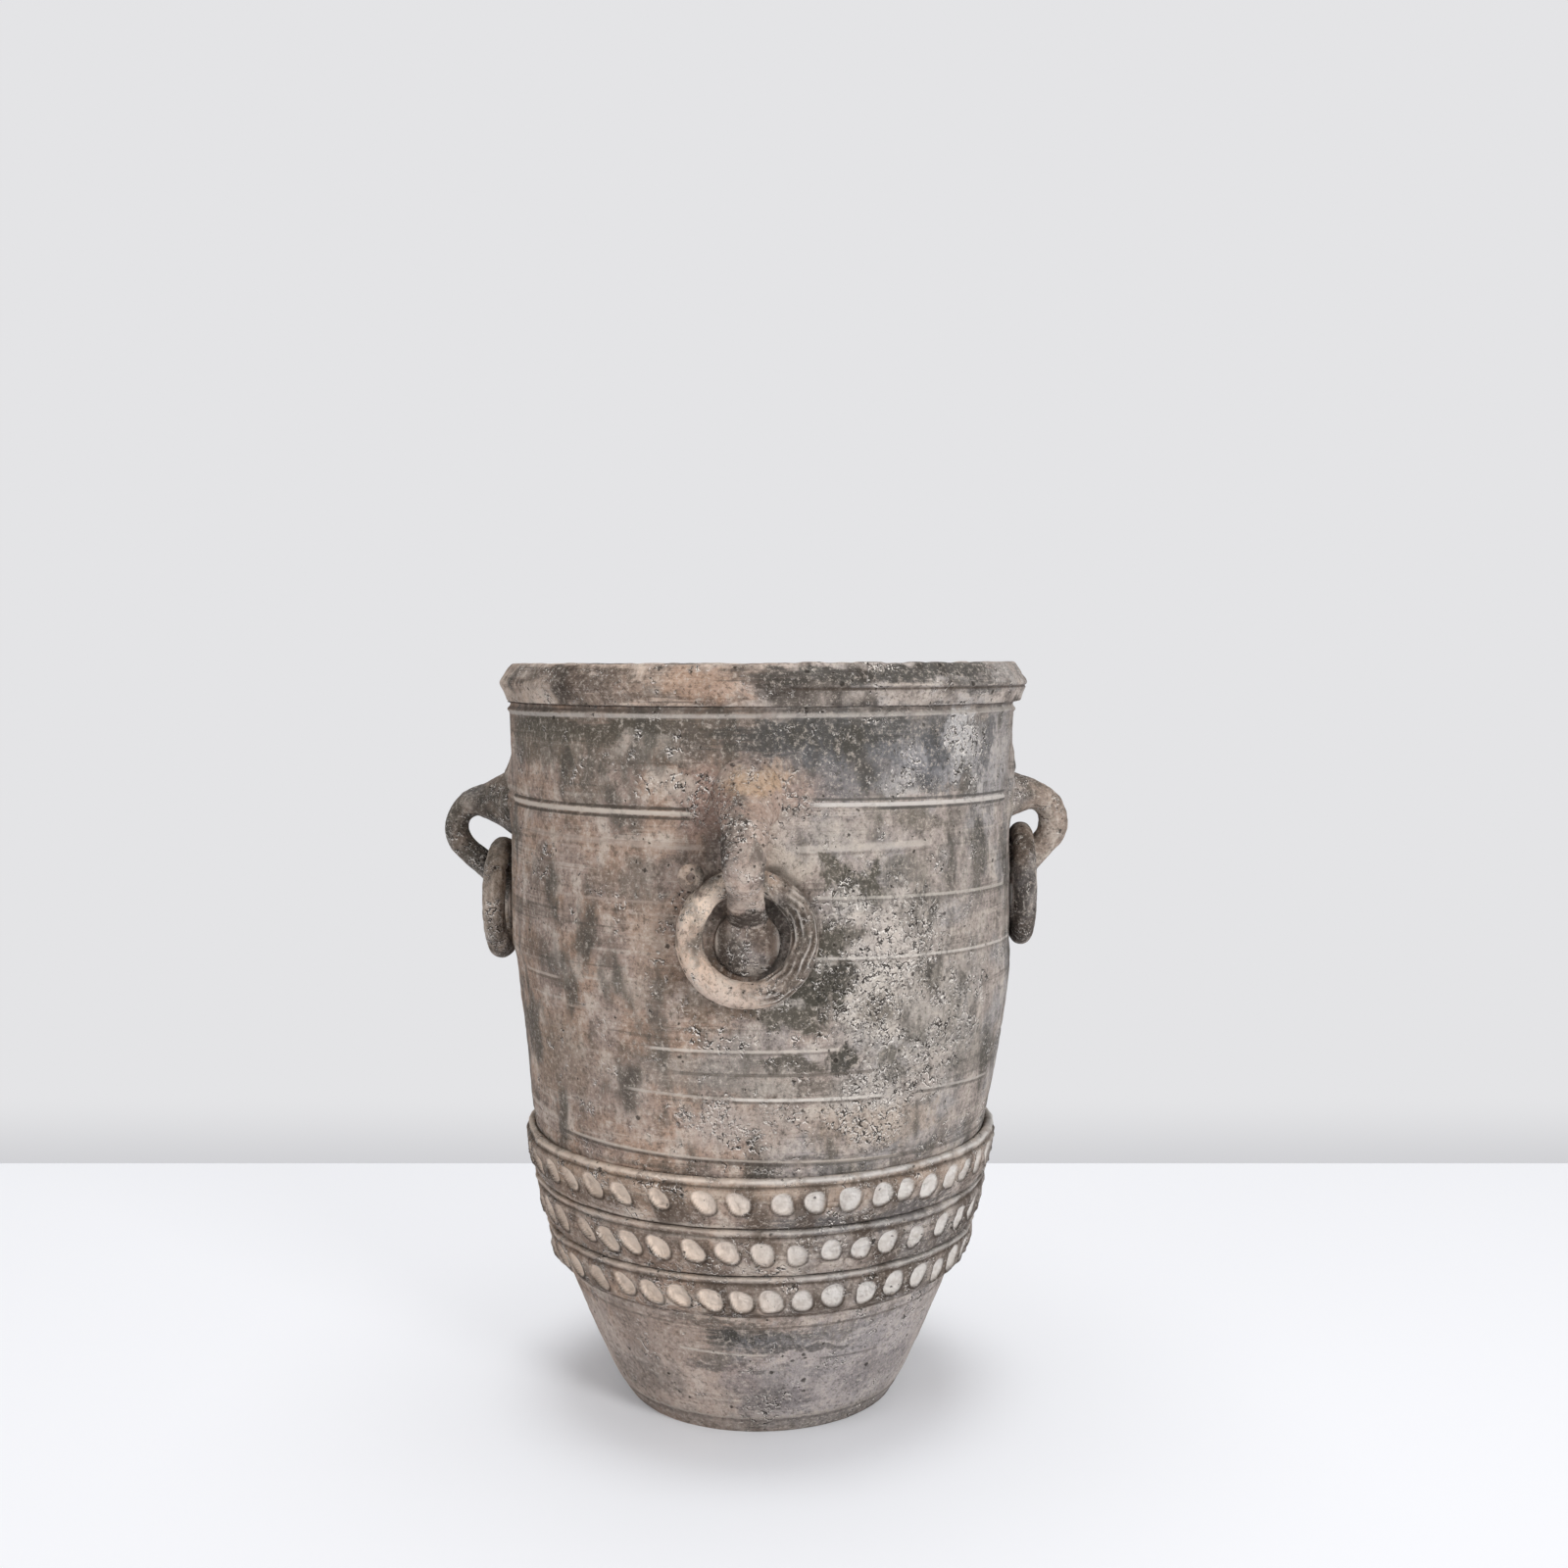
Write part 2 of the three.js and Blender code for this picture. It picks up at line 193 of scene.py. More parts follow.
@dataclass
class Surface:
    """The points of a mesh in the pot's own measures, with a way to write them back."""

    piece: Piece
    points: Array = field(init=False)

    def __post_init__(self) -> None:
        mesh = self.piece.data
        flat = np.empty(len(mesh.vertices) * 3)
        mesh.vertices.foreach_get("co", flat)
        self.points = flat.reshape(-1, 3) / MM

    @property
    def azimuth(self) -> Array:
        """Azimuth of every point."""
        return np.degrees(np.arctan2(self.points[:, 0], -self.points[:, 1]))

    @property
    def radius(self) -> Array:
        """Distance of every point from the pot's axis."""
        return np.hypot(self.points[:, 0], self.points[:, 1])

    @property
    def height(self) -> Array:
        """Height of every point above the base."""
        return self.points[:, 2]

    def set_radius(self, radius: Array) -> None:
        """Moves every point straight out or in to a distance from the axis."""
        now = np.maximum(self.radius, 1e-6)
        self.points[:, :2] *= (radius / now)[:, None]

    def write(self, **marks: Array) -> None:
        """Writes the points back, and each mark as a float attribute of the points."""
        mesh = self.piece.data
        mesh.vertices.foreach_set("co", (self.points * MM).ravel())
        for name, values in marks.items():
            layer = mesh.attributes.new(name, "FLOAT", "POINT")
            layer.data.foreach_set("value", np.asarray(values, np.float32))
        mesh.update()


def begin(name: str, add: Callable[..., set[str]], **settings: object) -> Piece:
    """Adds a primitive at the origin and opens it for editing, with all its points selected.

    Args:
        name: the piece's name.
        add: the operator that adds it.
        settings: of that operator, in metres.

    Returns:
        The new object.
    """
    bpy.ops.object.select_all(action="DESELECT")
    add(**settings)
    bpy.ops.object.mode_set(mode="EDIT")
    bpy.ops.mesh.select_all(action="SELECT")
    piece = bpy.context.object
    piece.name = piece.data.name = name
    return piece


def shift_points(across: float, along: float, up: float) -> None:
    """Moves the selected points."""
    bpy.ops.transform.translate(value=(across * MM, along * MM, up * MM))


def turn_points(angle: float, axis: str = "Y", centre: Place = ORIGIN) -> None:
    """Turns the selected points by an angle in radians about a centre in metres."""
    bpy.ops.transform.rotate(value=angle, orient_axis=axis, center_override=centre)


def scale_points(ratios: Place, centre: Place = ORIGIN) -> None:
    """Scales the selected points from a centre in metres."""
    bpy.ops.transform.resize(value=ratios, center_override=centre)


def end_editing() -> None:
    """Goes back to object mode."""
    bpy.ops.object.mode_set(mode="OBJECT")


def choose(piece: Piece) -> None:
    """Makes the piece the only selected object, and the active one."""
    bpy.ops.object.select_all(action="DESELECT")
    piece.select_set(True)
    bpy.context.view_layer.objects.active = piece


def apply_modifier(piece: Piece, kind: str, **settings: object) -> None:
    """Adds a modifier with these settings and applies it."""
    choose(piece)
    modifier = piece.modifiers.new(kind.lower(), kind)
    for key, value in settings.items():
        setattr(modifier, key, value)
    bpy.ops.object.modifier_apply(modifier=modifier.name)


def roughen(piece: Piece, size: float, strength: float, depth: int = 2) -> None:
    """Pushes the surface in and out by a cloud texture.

    Args:
        piece: the object.
        size: of the clouds.
        strength: whole travel.
        depth: how many finer layers the clouds have.
    """
    clouds = bpy.data.textures.new(f"{piece.name}_clouds", "CLOUDS")
    clouds.noise_scale = size * MM
    clouds.noise_depth = depth
    apply_modifier(piece, "DISPLACE", texture=clouds, strength=strength * MM, mid_level=0.5)


# An open outline that ends this near the axis is closed there
NEARLY_SHUT = 3.0


def turned(name: str, outline: list[Point], count: int, levels: int = 2, closed: bool = False) -> Piece:
    """Turns an outline about the upright axis and subdivides it smoothly.

    Args:
        name: the piece's name.
        outline: radius and height of each corner.
        count: corners round the axis before it is subdivided.
        levels: how often it is subdivided.
        closed: whether the outline's end joins its start.

    Returns:
        The finished object.
    """
    piece = begin(name, bpy.ops.mesh.primitive_circle_add, vertices=count, radius=outline[0][0] * MM)
    shift_points(0, 0, outline[0][1])
    for (radius, height), (next_radius, next_height) in zip(outline, outline[1:]):
        rise = (0, 0, (next_height - height) * MM)
        bpy.ops.mesh.extrude_edges_move(TRANSFORM_OT_translate={"value": rise})
        ratio = next_radius / radius
        scale_points((ratio, ratio, 1))
    if closed:
        bpy.ops.mesh.select_all(action="DESELECT")
        bpy.ops.mesh.select_non_manifold(extend=False)
        bpy.ops.mesh.bridge_edge_loops()
    elif outline[-1][0] < NEARLY_SHUT:
        bpy.ops.mesh.merge(type="CENTER")
    bpy.ops.mesh.select_all(action="SELECT")
    bpy.ops.mesh.normals_make_consistent(inside=False)
    end_editing()
    apply_modifier(piece, "SUBSURF", levels=levels)
    return piece


def linear(colour: Colour) -> tuple[float, float, float, float]:
    """Turns a colour as seen on a screen, 0 to 255, into the linear one that shaders take."""
    shares = [c / 255 for c in colour]
    return (*[s / 12.92 if s <= 0.04045 else ((s + 0.055) / 1.055) ** 2.4 for s in shares], 1.0)


def operator(name: str, swapped: bool = False) -> Callable[[Value, Input], Value]:
    """An operator for Value, which adds a Math node.

    Args:
        name: of the node's operation.
        swapped: whether the value comes second.

    Returns:
        The operator.
    """

    def reckon(value: Value, other: Input) -> Value:
        """Adds the node."""
        return value.graph.math(name, *((other, value) if swapped else (value, other)))

    return reckon


@dataclass(frozen=True)
class Value:
    """A node's output, which can be reckoned with like a number."""

    graph: Graph
    socket: bpy.types.NodeSocket

    __add__ = __radd__ = operator("ADD")
    __sub__, __rsub__ = operator("SUBTRACT"), operator("SUBTRACT", swapped=True)
    __mul__ = operator("MULTIPLY")
    __truediv__, __rtruediv__ = operator("DIVIDE"), operator("DIVIDE", swapped=True)
    __pow__ = operator("POWER")

    def __abs__(self) -> Value:
        """The size without its sign."""
        return self.graph.math("ABSOLUTE", self)


Input = Value | float | tuple


def spaced(key: str) -> str:
    """The name of a socket, from a keyword with underscores for its spaces."""
    return key.replace("_", " ")


@dataclass
class Graph:
    """A node tree with short ways to add the nodes that clay needs."""

    tree: Tree

    def node(self, kind: str, inputs: dict[str | int, Input], **settings: object) -> bpy.types.Node:
        """Adds a node, sets its properties, and links its inputs or sets them to constants."""
        node = self.tree.nodes.new(kind)
        for key, value in settings.items():
            setattr(node, key, value)
        for key, value in inputs.items():
            if isinstance(value, Value):
                self.tree.links.new(value.socket, node.inputs[key])
            else:
                node.inputs[key].default_value = value
        return node

    def add(self, kind: str, inputs: dict[str | int, Input] | None = None, output: str | int = 0,
            **settings: object) -> Value:
        """Adds a node and gives one of its outputs, the first if none is named."""
        return Value(self, self.node(kind, inputs or {}, **settings).outputs[output])

    def math(self, operation: str, *values: Input) -> Value:
        """A Math node."""
        return self.add("ShaderNodeMath", dict(enumerate(values)), operation=operation)

    def vector(self, operation: str, first: Input, second: Input) -> Value:
        """A Vector Math node of two vectors, or of a vector and a scale."""
        second_key = "Scale" if operation == "SCALE" else 1
        return self.add("ShaderNodeVectorMath", {0: first, second_key: second}, operation=operation)

    def split(self, vector: Value) -> list[Value]:
        """The three parts of a vector."""
        return [Value(self, part) for part in self.node("ShaderNodeSeparateXYZ", {0: vector}).outputs]

    def step(self, value: Input, low: Input, high: Input, start: float = 0, end: float = 1) -> Value:
        """A smooth step of a value between two limits, from start to end."""
        inputs = {"Value": value, "From Min": low, "From Max": high, "To Min": start, "To Max": end}
        return self.add("ShaderNodeMapRange", inputs, interpolation_type="SMOOTHSTEP")

    def mix(self, share: Input, first: Value | Colour, second: Value | Colour) -> Value:
        """Mixes two colours."""
        one, other = (linear(c) if isinstance(c, tuple) else c for c in (first, second))
        return self.add("ShaderNodeMix", {0: share, 6: one, 7: other}, 2, data_type="RGBA")

    def noise(self, place: Value, scale: Input, detail: float = 3, rough: float = 0.55,
              stretch: Place | None = None, output: int = 0) -> Value:
        """A Noise Texture: its value, or its colour as output 1; stretch scales the place first."""
        if stretch:
            place = self.vector("MULTIPLY", place, stretch)
        inputs = {"Vector": place, "Scale": scale, "Detail": detail, "Roughness": rough}
        return self.add("ShaderNodeTexNoise", inputs, output)

    def blend(self, share: Value, first: Value, second: Value) -> Value:
        """Mixes two shaders."""
        return self.add("ShaderNodeMixShader", {0: share, 1: first, 2: second})

    def ray(self, question: str) -> Value:
        """What the Light Path node says of the ray."""
        return self.add("ShaderNodeLightPath", output=question)

    def object_place(self) -> Value:
        """Object coordinates, in metres."""
        return self.add("ShaderNodeTexCoord", output="Object")

    def group(self, kind: Tree, **inputs: Input) -> dict[str, Value]:
        """Adds a node group and gives its outputs by name."""
        named = {spaced(key): value for key, value in inputs.items()}
        node = self.node("ShaderNodeGroup", named, node_tree=kind)
        return {socket.name: Value(self, socket) for socket in node.outputs}

    def close(self, **results: Value) -> Tree:
        """Ends a node group with these outputs."""
        named = {spaced(key): value for key, value in results.items()}
        for key, value in named.items():
            kind = "Vector" if value.socket.type == "VECTOR" else "Float"
            self.tree.interface.new_socket(key, in_out="OUTPUT", socket_type=f"NodeSocket{kind}")
        self.node("NodeGroupOutput", named)
        return self.tree


def start_nodes(owner: bpy.types.Material | bpy.types.World) -> Graph:
    """Gives a material or world an empty node tree."""
    owner.use_nodes = True
    owner.node_tree.nodes.clear()
    return Graph(owner.node_tree)


def start_group(name: str, **inputs: float | Place) -> list:
    """Starts a shader node group.

    Args:
        name: of the group.
        inputs: each input's default.

    Returns:
        The graph, and after it the value of each input.
    """
    tree = bpy.data.node_groups.new(name, "ShaderNodeTree")
    for key, default in inputs.items():
        kind = "Vector" if isinstance(default, tuple) else "Float"
        socket = tree.interface.new_socket(spaced(key), in_out="INPUT", socket_type=f"NodeSocket{kind}")
        socket.default_value = default
    graph = Graph(tree)
    entry = graph.node("NodeGroupInput", {})
    return [graph, *[Value(graph, socket) for socket in entry.outputs[: len(inputs)]]]


def place_group() -> Tree:
    """Object coordinates in millimetres, as azimuth and height, plain and wavering.

    Right goes from -1 on the pot's left to 1 on its right, and is 0 at its front and back.
    """
    graph, given = start_group("clay_place", Object=ORIGIN)
    place = graph.vector("SCALE", given, 1000.0)
    x, y, height = graph.split(place)
    azimuth = graph.math("ARCTAN2", x, y * -1.0) * math.degrees(1)
    loose = [azimuth, height]
    for scale, travels in ((0.03, (13.0, 30.0)), (0.13, (5.0, 13.0))):
        shift = graph.split(graph.noise(place, scale, 2, output=1))
        loose = [(part - 0.5) * travel + value for part, travel, value in zip(shift, travels, loose)]
    right = graph.math("SINE", loose[0] * math.radians(1))
    return graph.close(Place=place, Azimuth=azimuth, Height=height, Loose_Azimuth=loose[0],
                       Loose_Height=loose[1], Right=right)


def patch_group() -> Tree:
    """A ragged oval patch at an azimuth and height."""
    graph, azimuth, height, ragged, at, level, half_width, half_height, softness = start_group(
        "clay_patch", Azimuth=0.0, Height=0.0, Ragged=0.0, At=0.0, Level=0.0, Half_Width=5.0,
        Half_Height=10.0, Softness=0.5)
    across = abs((azimuth - at) / half_width)
    along = abs((height - level) / half_height)
    far = (across**3.0 + along**3.0) ** (1 / 3) + ragged
    return graph.close(Mask=graph.step(far, softness + 1.0, 1.0 - softness))


def ring_shade_group() -> Tree:
    """Painted shade round the edge of something round that lies on the wall."""
    graph, azimuth, height, at, level, radius, width = start_group(
        "clay_ring_shade", Azimuth=0.0, Height=0.0, At=0.0, Level=0.0, Radius=40.0, Width=4.0)
    across = graph.math("WRAP", azimuth - at, 180.0, -180.0) * MM_TO_A_DEGREE
    far = graph.math("SQRT", across**2.0 + (height - level) ** 2.0)
    return graph.close(Mask=graph.step(abs(far - radius) / width, 1.0, 0.0))


def line_group() -> Tree:
    """A line turned round the pot, between two azimuths, that may climb."""
    graph, azimuth, height, level, climb, half_width, start, end = start_group(
        "clay_line", Azimuth=0.0, Height=0.0, Level=0.0, Climb=0.0, Half_Width=1.0, From=-180.0, To=180.0)
    off = abs(height - (azimuth * climb + level))
    shown = graph.step(azimuth - start, -1.0, 1.5) * graph.step(end - azimuth, -1.0, 1.5)
    return graph.close(Mask=graph.step(off / half_width, 1.35, 0.55) * shown)


def stain_group() -> Tree:
    """Dark clouds that run down the wall and break up into specks."""
    graph, place, size, share = start_group("clay_stains", Place=ORIGIN, Size=30.0, Share=0.4)
    cloud = graph.noise(place, 1.0 / size, 5, 0.55, (1.0, 1.0, 0.5))
    speck = graph.noise(place, 0.3, 4, 0.7)
    level = (speck - 0.5) * 0.26 + cloud
    return graph.close(Mask=graph.step(level - (share * -0.3 + 0.66), -0.03, 0.08))


def turning_group() -> Tree:
    """Fine level lines left by the potter's fingers, pale and dark side by side."""
    graph, place, pitch = start_group("clay_turning", Place=ORIGIN, Pitch=4.0)
    lines = graph.noise(place, 1.0 / pitch, 3, 0.65, (0.02, 0.02, 1.0))
    there = graph.noise(place, 1.0, 2, stretch=(0.015, 0.015, 0.06))
    return graph.close(Light=(lines - 0.5) * graph.step(there, 0.35, 0.62, 0.25, 1.0))


def pit_group() -> Tree:
    """Round pits with a pale rim, scattered unevenly."""
    graph, place, size, share = start_group("clay_pits", Place=ORIGIN, Size=4.0, Share=0.4)
    twist = graph.vector("SCALE", graph.noise(place, 0.45, 2, output=1), 3.4)
    inputs = {"Vector": graph.vector("ADD", place, twist), "Scale": 1.0 / size}
    cells = graph.node("ShaderNodeTexVoronoi", inputs).outputs
    chance = graph.split(Value(graph, cells["Color"]))
    shown = graph.math("LESS_THAN", chance[0], share)
    edge = Value(graph, cells["Distance"]) / (chance[1] * 0.16 + 0.12)
    rim = graph.step(edge, 0.8, 1.25) * graph.step(edge, 2.0, 1.3)
    return graph.close(Hole=graph.step(edge, 1.1, 0.6) * shown, Rim=rim * shown)


def curl_group() -> Tree:
    """Short curls where the slip has cracked and lifted: a dark crack line with a painted highlight beside
    it, on the side towards the light.
    """
    graph, place, size, share = start_group("clay_curls", Place=ORIGIN, Size=6.0, Share=0.4)
    cluster = graph.noise(place, 0.3 / size, 3)
    clustered = graph.step(cluster - (share * -0.3 + 0.63), -0.02, 0.06)
    there = clustered * graph.step(graph.noise(place, 1.7 / size, 1), 0.45, 0.53)
    # The painted highlight lies a little above and to the right of the crack, towards the light
    beside = graph.vector("ADD", place, (0.4, -0.4, 0.9))
    offs = [graph.noise(spot, 1.0 / size, 3, 0.6) - 0.5 for spot in (place, beside)]
    dark, highlight = [
        graph.step(abs(off), width, width * 0.4) * there for off, width in zip(offs, (0.032, 0.03))
    ]
    return graph.close(Dark=dark, Bright=highlight, Lift=graph.step(offs[0], -0.012, 0.012) * clustered)


@dataclass
class Effects:
    """The node groups that every clay finish shares."""

    place: Tree = field(default_factory=place_group)
    patch: Tree = field(default_factory=patch_group)
    line: Tree = field(default_factory=line_group)
    ring_shade: Tree = field(default_factory=ring_shade_group)
    stain: Tree = field(default_factory=stain_group)
    turning: Tree = field(default_factory=turning_group)
    pits: Tree = field(default_factory=pit_group)
    curls: Tree = field(default_factory=curl_group)


# A degree round the wall, in millimetres
MM_TO_A_DEGREE = 3.09


@dataclass(frozen=True)
class Patch:
    """A place on the pot whose clay has its own colour.

    Args:
        at, level: azimuth and height of its middle.
        half_width, half_height: half its size, in degrees and millimetres.
        colour: of the clay there.
        strength: how much of that colour covers the clay.
        softness: how far its edge fades.
        crust: how many more curls of cracked slip it has.
        brushed: whether its edge is drawn out in level strokes and not in drips.
    """

    at: float
    level: float
    half_width: float
    half_height: float
    colour: Colour
    strength: float = 0.7
    softness: float = 0.3
    crust: float = 0.0
    brushed: bool = False


def stroke(*shape: float | Colour) -> Patch:
    """A patch drawn out in level strokes, of the same first six values."""
    return Patch(*shape, brushed=True)


@dataclass(frozen=True)
class Line:
    """A line turned into the pot: pale where slip filled it, dark where it is cut.

    Args:
        level: its height at azimuth 0.
        half_width: half its height.
        colour: of the clay in it.
        strength: how much of that colour covers the clay.
        climb: millimetres to a degree.
        start, end: the azimuths it goes between.
        depth: how deep it is cut.
    """

    level: float
    half_width: float
    colour: Colour
    strength: float = 0.8
    climb: float = 0.0
    start: float = -400.0
    end: float = 400.0
    depth: float = 0.0


@dataclass(frozen=True)
class ClayFinish:
    """What tells one clay piece's surface from another's.

    Args:
        name: of the material.
        slot: the record's material slot.
        warm: colour on the left of the pot.
        cool: colour on the right.
        pale: slip left on the surface.
        dark: smoke and damp stains.
        stains: share of the surface that is stained.
        curls: share of the surface where the slip has cracked and lifted.
        pits: share of the cells that hold a pit.
        seed: shift of all the noise, so that no two pieces repeat.
        smooth_left: how far the left of the pot is free of curls and pits.
        change: how far left the warm colour ends and how far right the cool one begins.
        patches: places with their own colour.
        lines: lines turned into it.
        turned: how strongly it shows the potter's fine turning lines.
        pressed: whether its points carry marks of presses, with a painted highlight on ridges and painted
            shade in hollows.
        clean_below: height below which it has few stains.
        ring_shaded: whether painted shade lies on it round the edges of the resting rings.
    """

    name: str
    slot: str
    warm: Colour
    cool: Colour
    pale: Colour = (206, 194, 182)
    dark: Colour = (70, 66, 59)
    stains: float = 0.35
    curls: float = 0.4
    pits: float = 0.12
    seed: float = 0.0
    smooth_left: float = 0.0
    change: Point = (-0.3, 0.42)
    patches: tuple[Patch, ...] = ()
    lines: tuple[Line, ...] = ()
    turned: float = 0.0
    pressed: bool = False
    clean_below: float = -100.0
    ring_shaded: bool = False


CREAM = (206, 196, 184)
CUT_LINE = (78, 70, 62)
# Patches and lines are laid in this order, the later ones over the earlier
WALL_PATCHES = (
    # Painted shade all round the wall under the collar
    Patch(0, 484, 400, 9, (100, 92, 85), 0.5),
    # Painted light: the lower wall lighter all round, standing in for light thrown up from the floor
    Patch(0, 44, 400, 44, (196, 182, 174), 0.5),
    Patch(2, 448, 12, 17, (178, 152, 138), 0.75, 0.6, 0.3),
    Patch(4, 456, 8, 7, (200, 168, 138), 0.6, 0.6),
    Patch(-8, 436, 5, 20, (150, 122, 110), 0.8, 0.5, 0.4),
    Patch(9, 420, 4, 14, (192, 178, 168), 0.6, 0.5, 0.2),
    # Painted shadow on the wall to the left of the front strap
    Patch(-7, 408, 3, 14, (96, 84, 76), 0.7, 0.6),
    # Painted shade on the wall inside the front ring, round the tongue
    Patch(0, 352, 8.5, 27, (74, 66, 59), 0.8, 0.6),
    stroke(-38, 478, 30, 9, (80, 74, 64), 0.85),
    Patch(-50, 466, 16, 12, (100, 93, 82), 0.65),
    Patch(-30, 462, 5, 14, (96, 88, 78), 0.6),
    Patch(-12, 470, 5, 12, (100, 90, 82), 0.6),
    Patch(-36, 442, 8, 14, (96, 92, 84), 0.5),
    Patch(-20, 468, 6, 8, CREAM, 0.35),
    Patch(-15, 446, 5, 7, CREAM, 0.4),
    Patch(30, 474, 30, 14, (104, 103, 103), 0.8, 0.4),
    stroke(14, 476, 18, 10, (76, 74, 71), 0.9),
    Patch(24, 456, 18, 15, (104, 104, 107), 0.7, 0.4),
    Patch(40, 458, 10, 12, (146, 145, 148), 0.6, 0.4, 0.2),
    Patch(45, 452, 10, 9, (98, 99, 104), 0.6),
    Patch(52, 462, 8, 20, (190, 186, 184), 0.65, 0.3, 0.35),
    Patch(35, 468, 4, 9, (160, 157, 158), 0.6, 0.3, 0.3),
    Patch(47, 474, 4, 9, (96, 96, 98), 0.6),
    Patch(58, 446, 4, 14, (112, 110, 112), 0.55),
    Patch(32, 446, 5, 9, (186, 181, 178), 0.6, 0.3, 0.3),
    Patch(66, 462, 9, 30, (170, 166, 166), 0.5),
    Patch(36, 420, 6, 8, (120, 112, 100), 0.5),
    Patch(19, 415, 5, 9, (180, 170, 160), 0.5),
    Patch(15.5, 391, 2.8, 11, (92, 87, 77), 0.9),
    Patch(20, 384, 2.4, 12, (78, 74, 65), 0.95),
    Patch(25.5, 384, 2.8, 15, (82, 78, 69), 0.95),
    Patch(34, 388, 5, 11, (112, 105, 96), 0.6),
    Patch(22, 376, 3.5, 7, (190, 182, 174), 0.7, 0.3, 0.4),
    Patch(11, 398, 3.5, 9, (206, 195, 186), 0.8),
    Patch(7, 395, 5, 10, (196, 182, 168), 0.7),
    Patch(-22, 388, 5, 12, (112, 102, 92), 0.6),
    Patch(-31, 386, 4, 8, (124, 108, 96), 0.5),
    Patch(-51, 386, 6, 12, (106, 92, 82), 0.55),
    Patch(-20, 352, 4, 26, (160, 138, 122), 0.5),
    Patch(-8, 326, 9, 9, (118, 94, 76), 0.6),
    Patch(-22, 316, 7, 12, (134, 116, 102), 0.5),
    Patch(-5, 306, 10, 8, (110, 92, 76), 0.65),
    Patch(-54, 332, 6, 12, (112, 96, 86), 0.5),
    Patch(40, 300, 16, 34, (192, 184, 175), 0.5, 0.4, 0.4),
    Patch(31, 350, 12, 28, (202, 193, 185), 0.6, 0.4, 0.7),
    Patch(23, 312, 8, 20, (198, 189, 180), 0.8, 0.3, 0.8),
    Patch(14.5, 346, 3.5, 15, (78, 74, 65), 0.95),
    Patch(13, 322, 5.5, 16, (66, 63, 54), 0.95),
    Patch(9, 300, 6, 9, (82, 77, 67), 0.9),
    Patch(18.5, 326, 3.5, 7, (76, 72, 65), 0.9),
    Patch(19, 352, 3, 9, (96, 90, 81), 0.8),
    Patch(15, 333, 1.6, 5, (180, 172, 163), 0.7, 0.3, 0.4),
    Patch(10, 311, 2.2, 5, (176, 168, 160), 0.7, 0.3, 0.4),
    Patch(27, 306, 4, 9, (116, 108, 98), 0.8),
    Patch(19.5, 270, 3.2, 7.5, (66, 63, 56), 0.95),
    Patch(31.5, 266, 2.6, 9, (96, 91, 82), 0.85),
    stroke(9, 269, 6.5, 6, (84, 78, 70), 0.9),
    stroke(12, 255, 12, 5, (104, 96, 88), 0.7),
    Patch(27, 240, 9, 24, (194, 185, 177), 0.6, 0.4, 0.8),
    Patch(43, 255, 8, 16, (176, 168, 160), 0.4, 0.4, 0.4),
    Patch(39, 322, 3.5, 12, (124, 117, 108), 0.7),
    Patch(47, 292, 4, 16, (128, 122, 114), 0.65),
    Patch(38, 282, 3, 8, (110, 104, 96), 0.7),
    Patch(52, 372, 4, 20, (138, 131, 126), 0.5),
    Patch(44, 396, 3, 10, (128, 122, 116), 0.5),
    Patch(-3, 232, 12, 14, (190, 176, 166), 0.5, 0.4, 0.5),
    Patch(55, 330, 10, 22, (160, 148, 138), 0.4),
    Patch(58, 264, 10, 16, (126, 120, 112), 0.5),
    Patch(30, 228, 16, 14, (176, 156, 138), 0.5),
    Patch(-12, 262, 14, 14, (132, 124, 116), 0.6),
    Patch(-4, 270, 8, 20, (146, 140, 134), 0.5),
    Patch(5, 258, 5, 10, (186, 176, 166), 0.5),
    Patch(-34, 244, 12, 22, (146, 130, 122), 0.4),
    Patch(-50, 262, 14, 26, (138, 120, 104), 0.5),
    stroke(2, 79, 17, 9, (92, 88, 84), 0.85),
    stroke(-2, 80, 11, 5, (58, 56, 53), 0.85),
    stroke(-9, 90, 14, 3, (84, 78, 73), 0.7),
    stroke(-10, 66, 9, 5, (96, 91, 86), 0.7),
    stroke(24, 82, 20, 5, (112, 107, 103), 0.7),
    stroke(34, 66, 10, 8, (122, 116, 112), 0.5),
    stroke(12, 52, 16, 6, (116, 110, 106), 0.5),
    Patch(34, 46, 36, 36, (170, 167, 172), 0.4, 0.4),
    stroke(-8, 57, 12, 3, (86, 82, 79), 0.7),
    stroke(16, 71, 15, 3, (88, 84, 82), 0.75),
    stroke(8, 28, 12, 8, (110, 104, 106), 0.6),
    Patch(-5, 46, 7, 14, (146, 132, 130), 0.5),
    Patch(2, 36, 10, 12, (128, 120, 118), 0.4),
    Patch(46, 40, 16, 14, (118, 112, 112), 0.5),
    Patch(-30, 74, 16, 18, (140, 122, 110), 0.5),
    Patch(-44, 36, 18, 12, (112, 104, 98), 0.5),
    Patch(0, 6, 200, 8, (92, 88, 84), 0.4, 0.8),
    Patch(49, 476, 3.5, 15, (204, 200, 198), 0.75, 0.25, 0.3),
    Patch(42, 468, 3, 12, (80, 80, 82), 0.75, 0.3),
    Patch(60, 470, 3, 17, (92, 91, 92), 0.75, 0.3),
    Patch(38, 446, 4, 7, (84, 83, 84), 0.7, 0.3),
    Patch(54, 440, 4, 8, (196, 190, 186), 0.7, 0.3, 0.4),
)
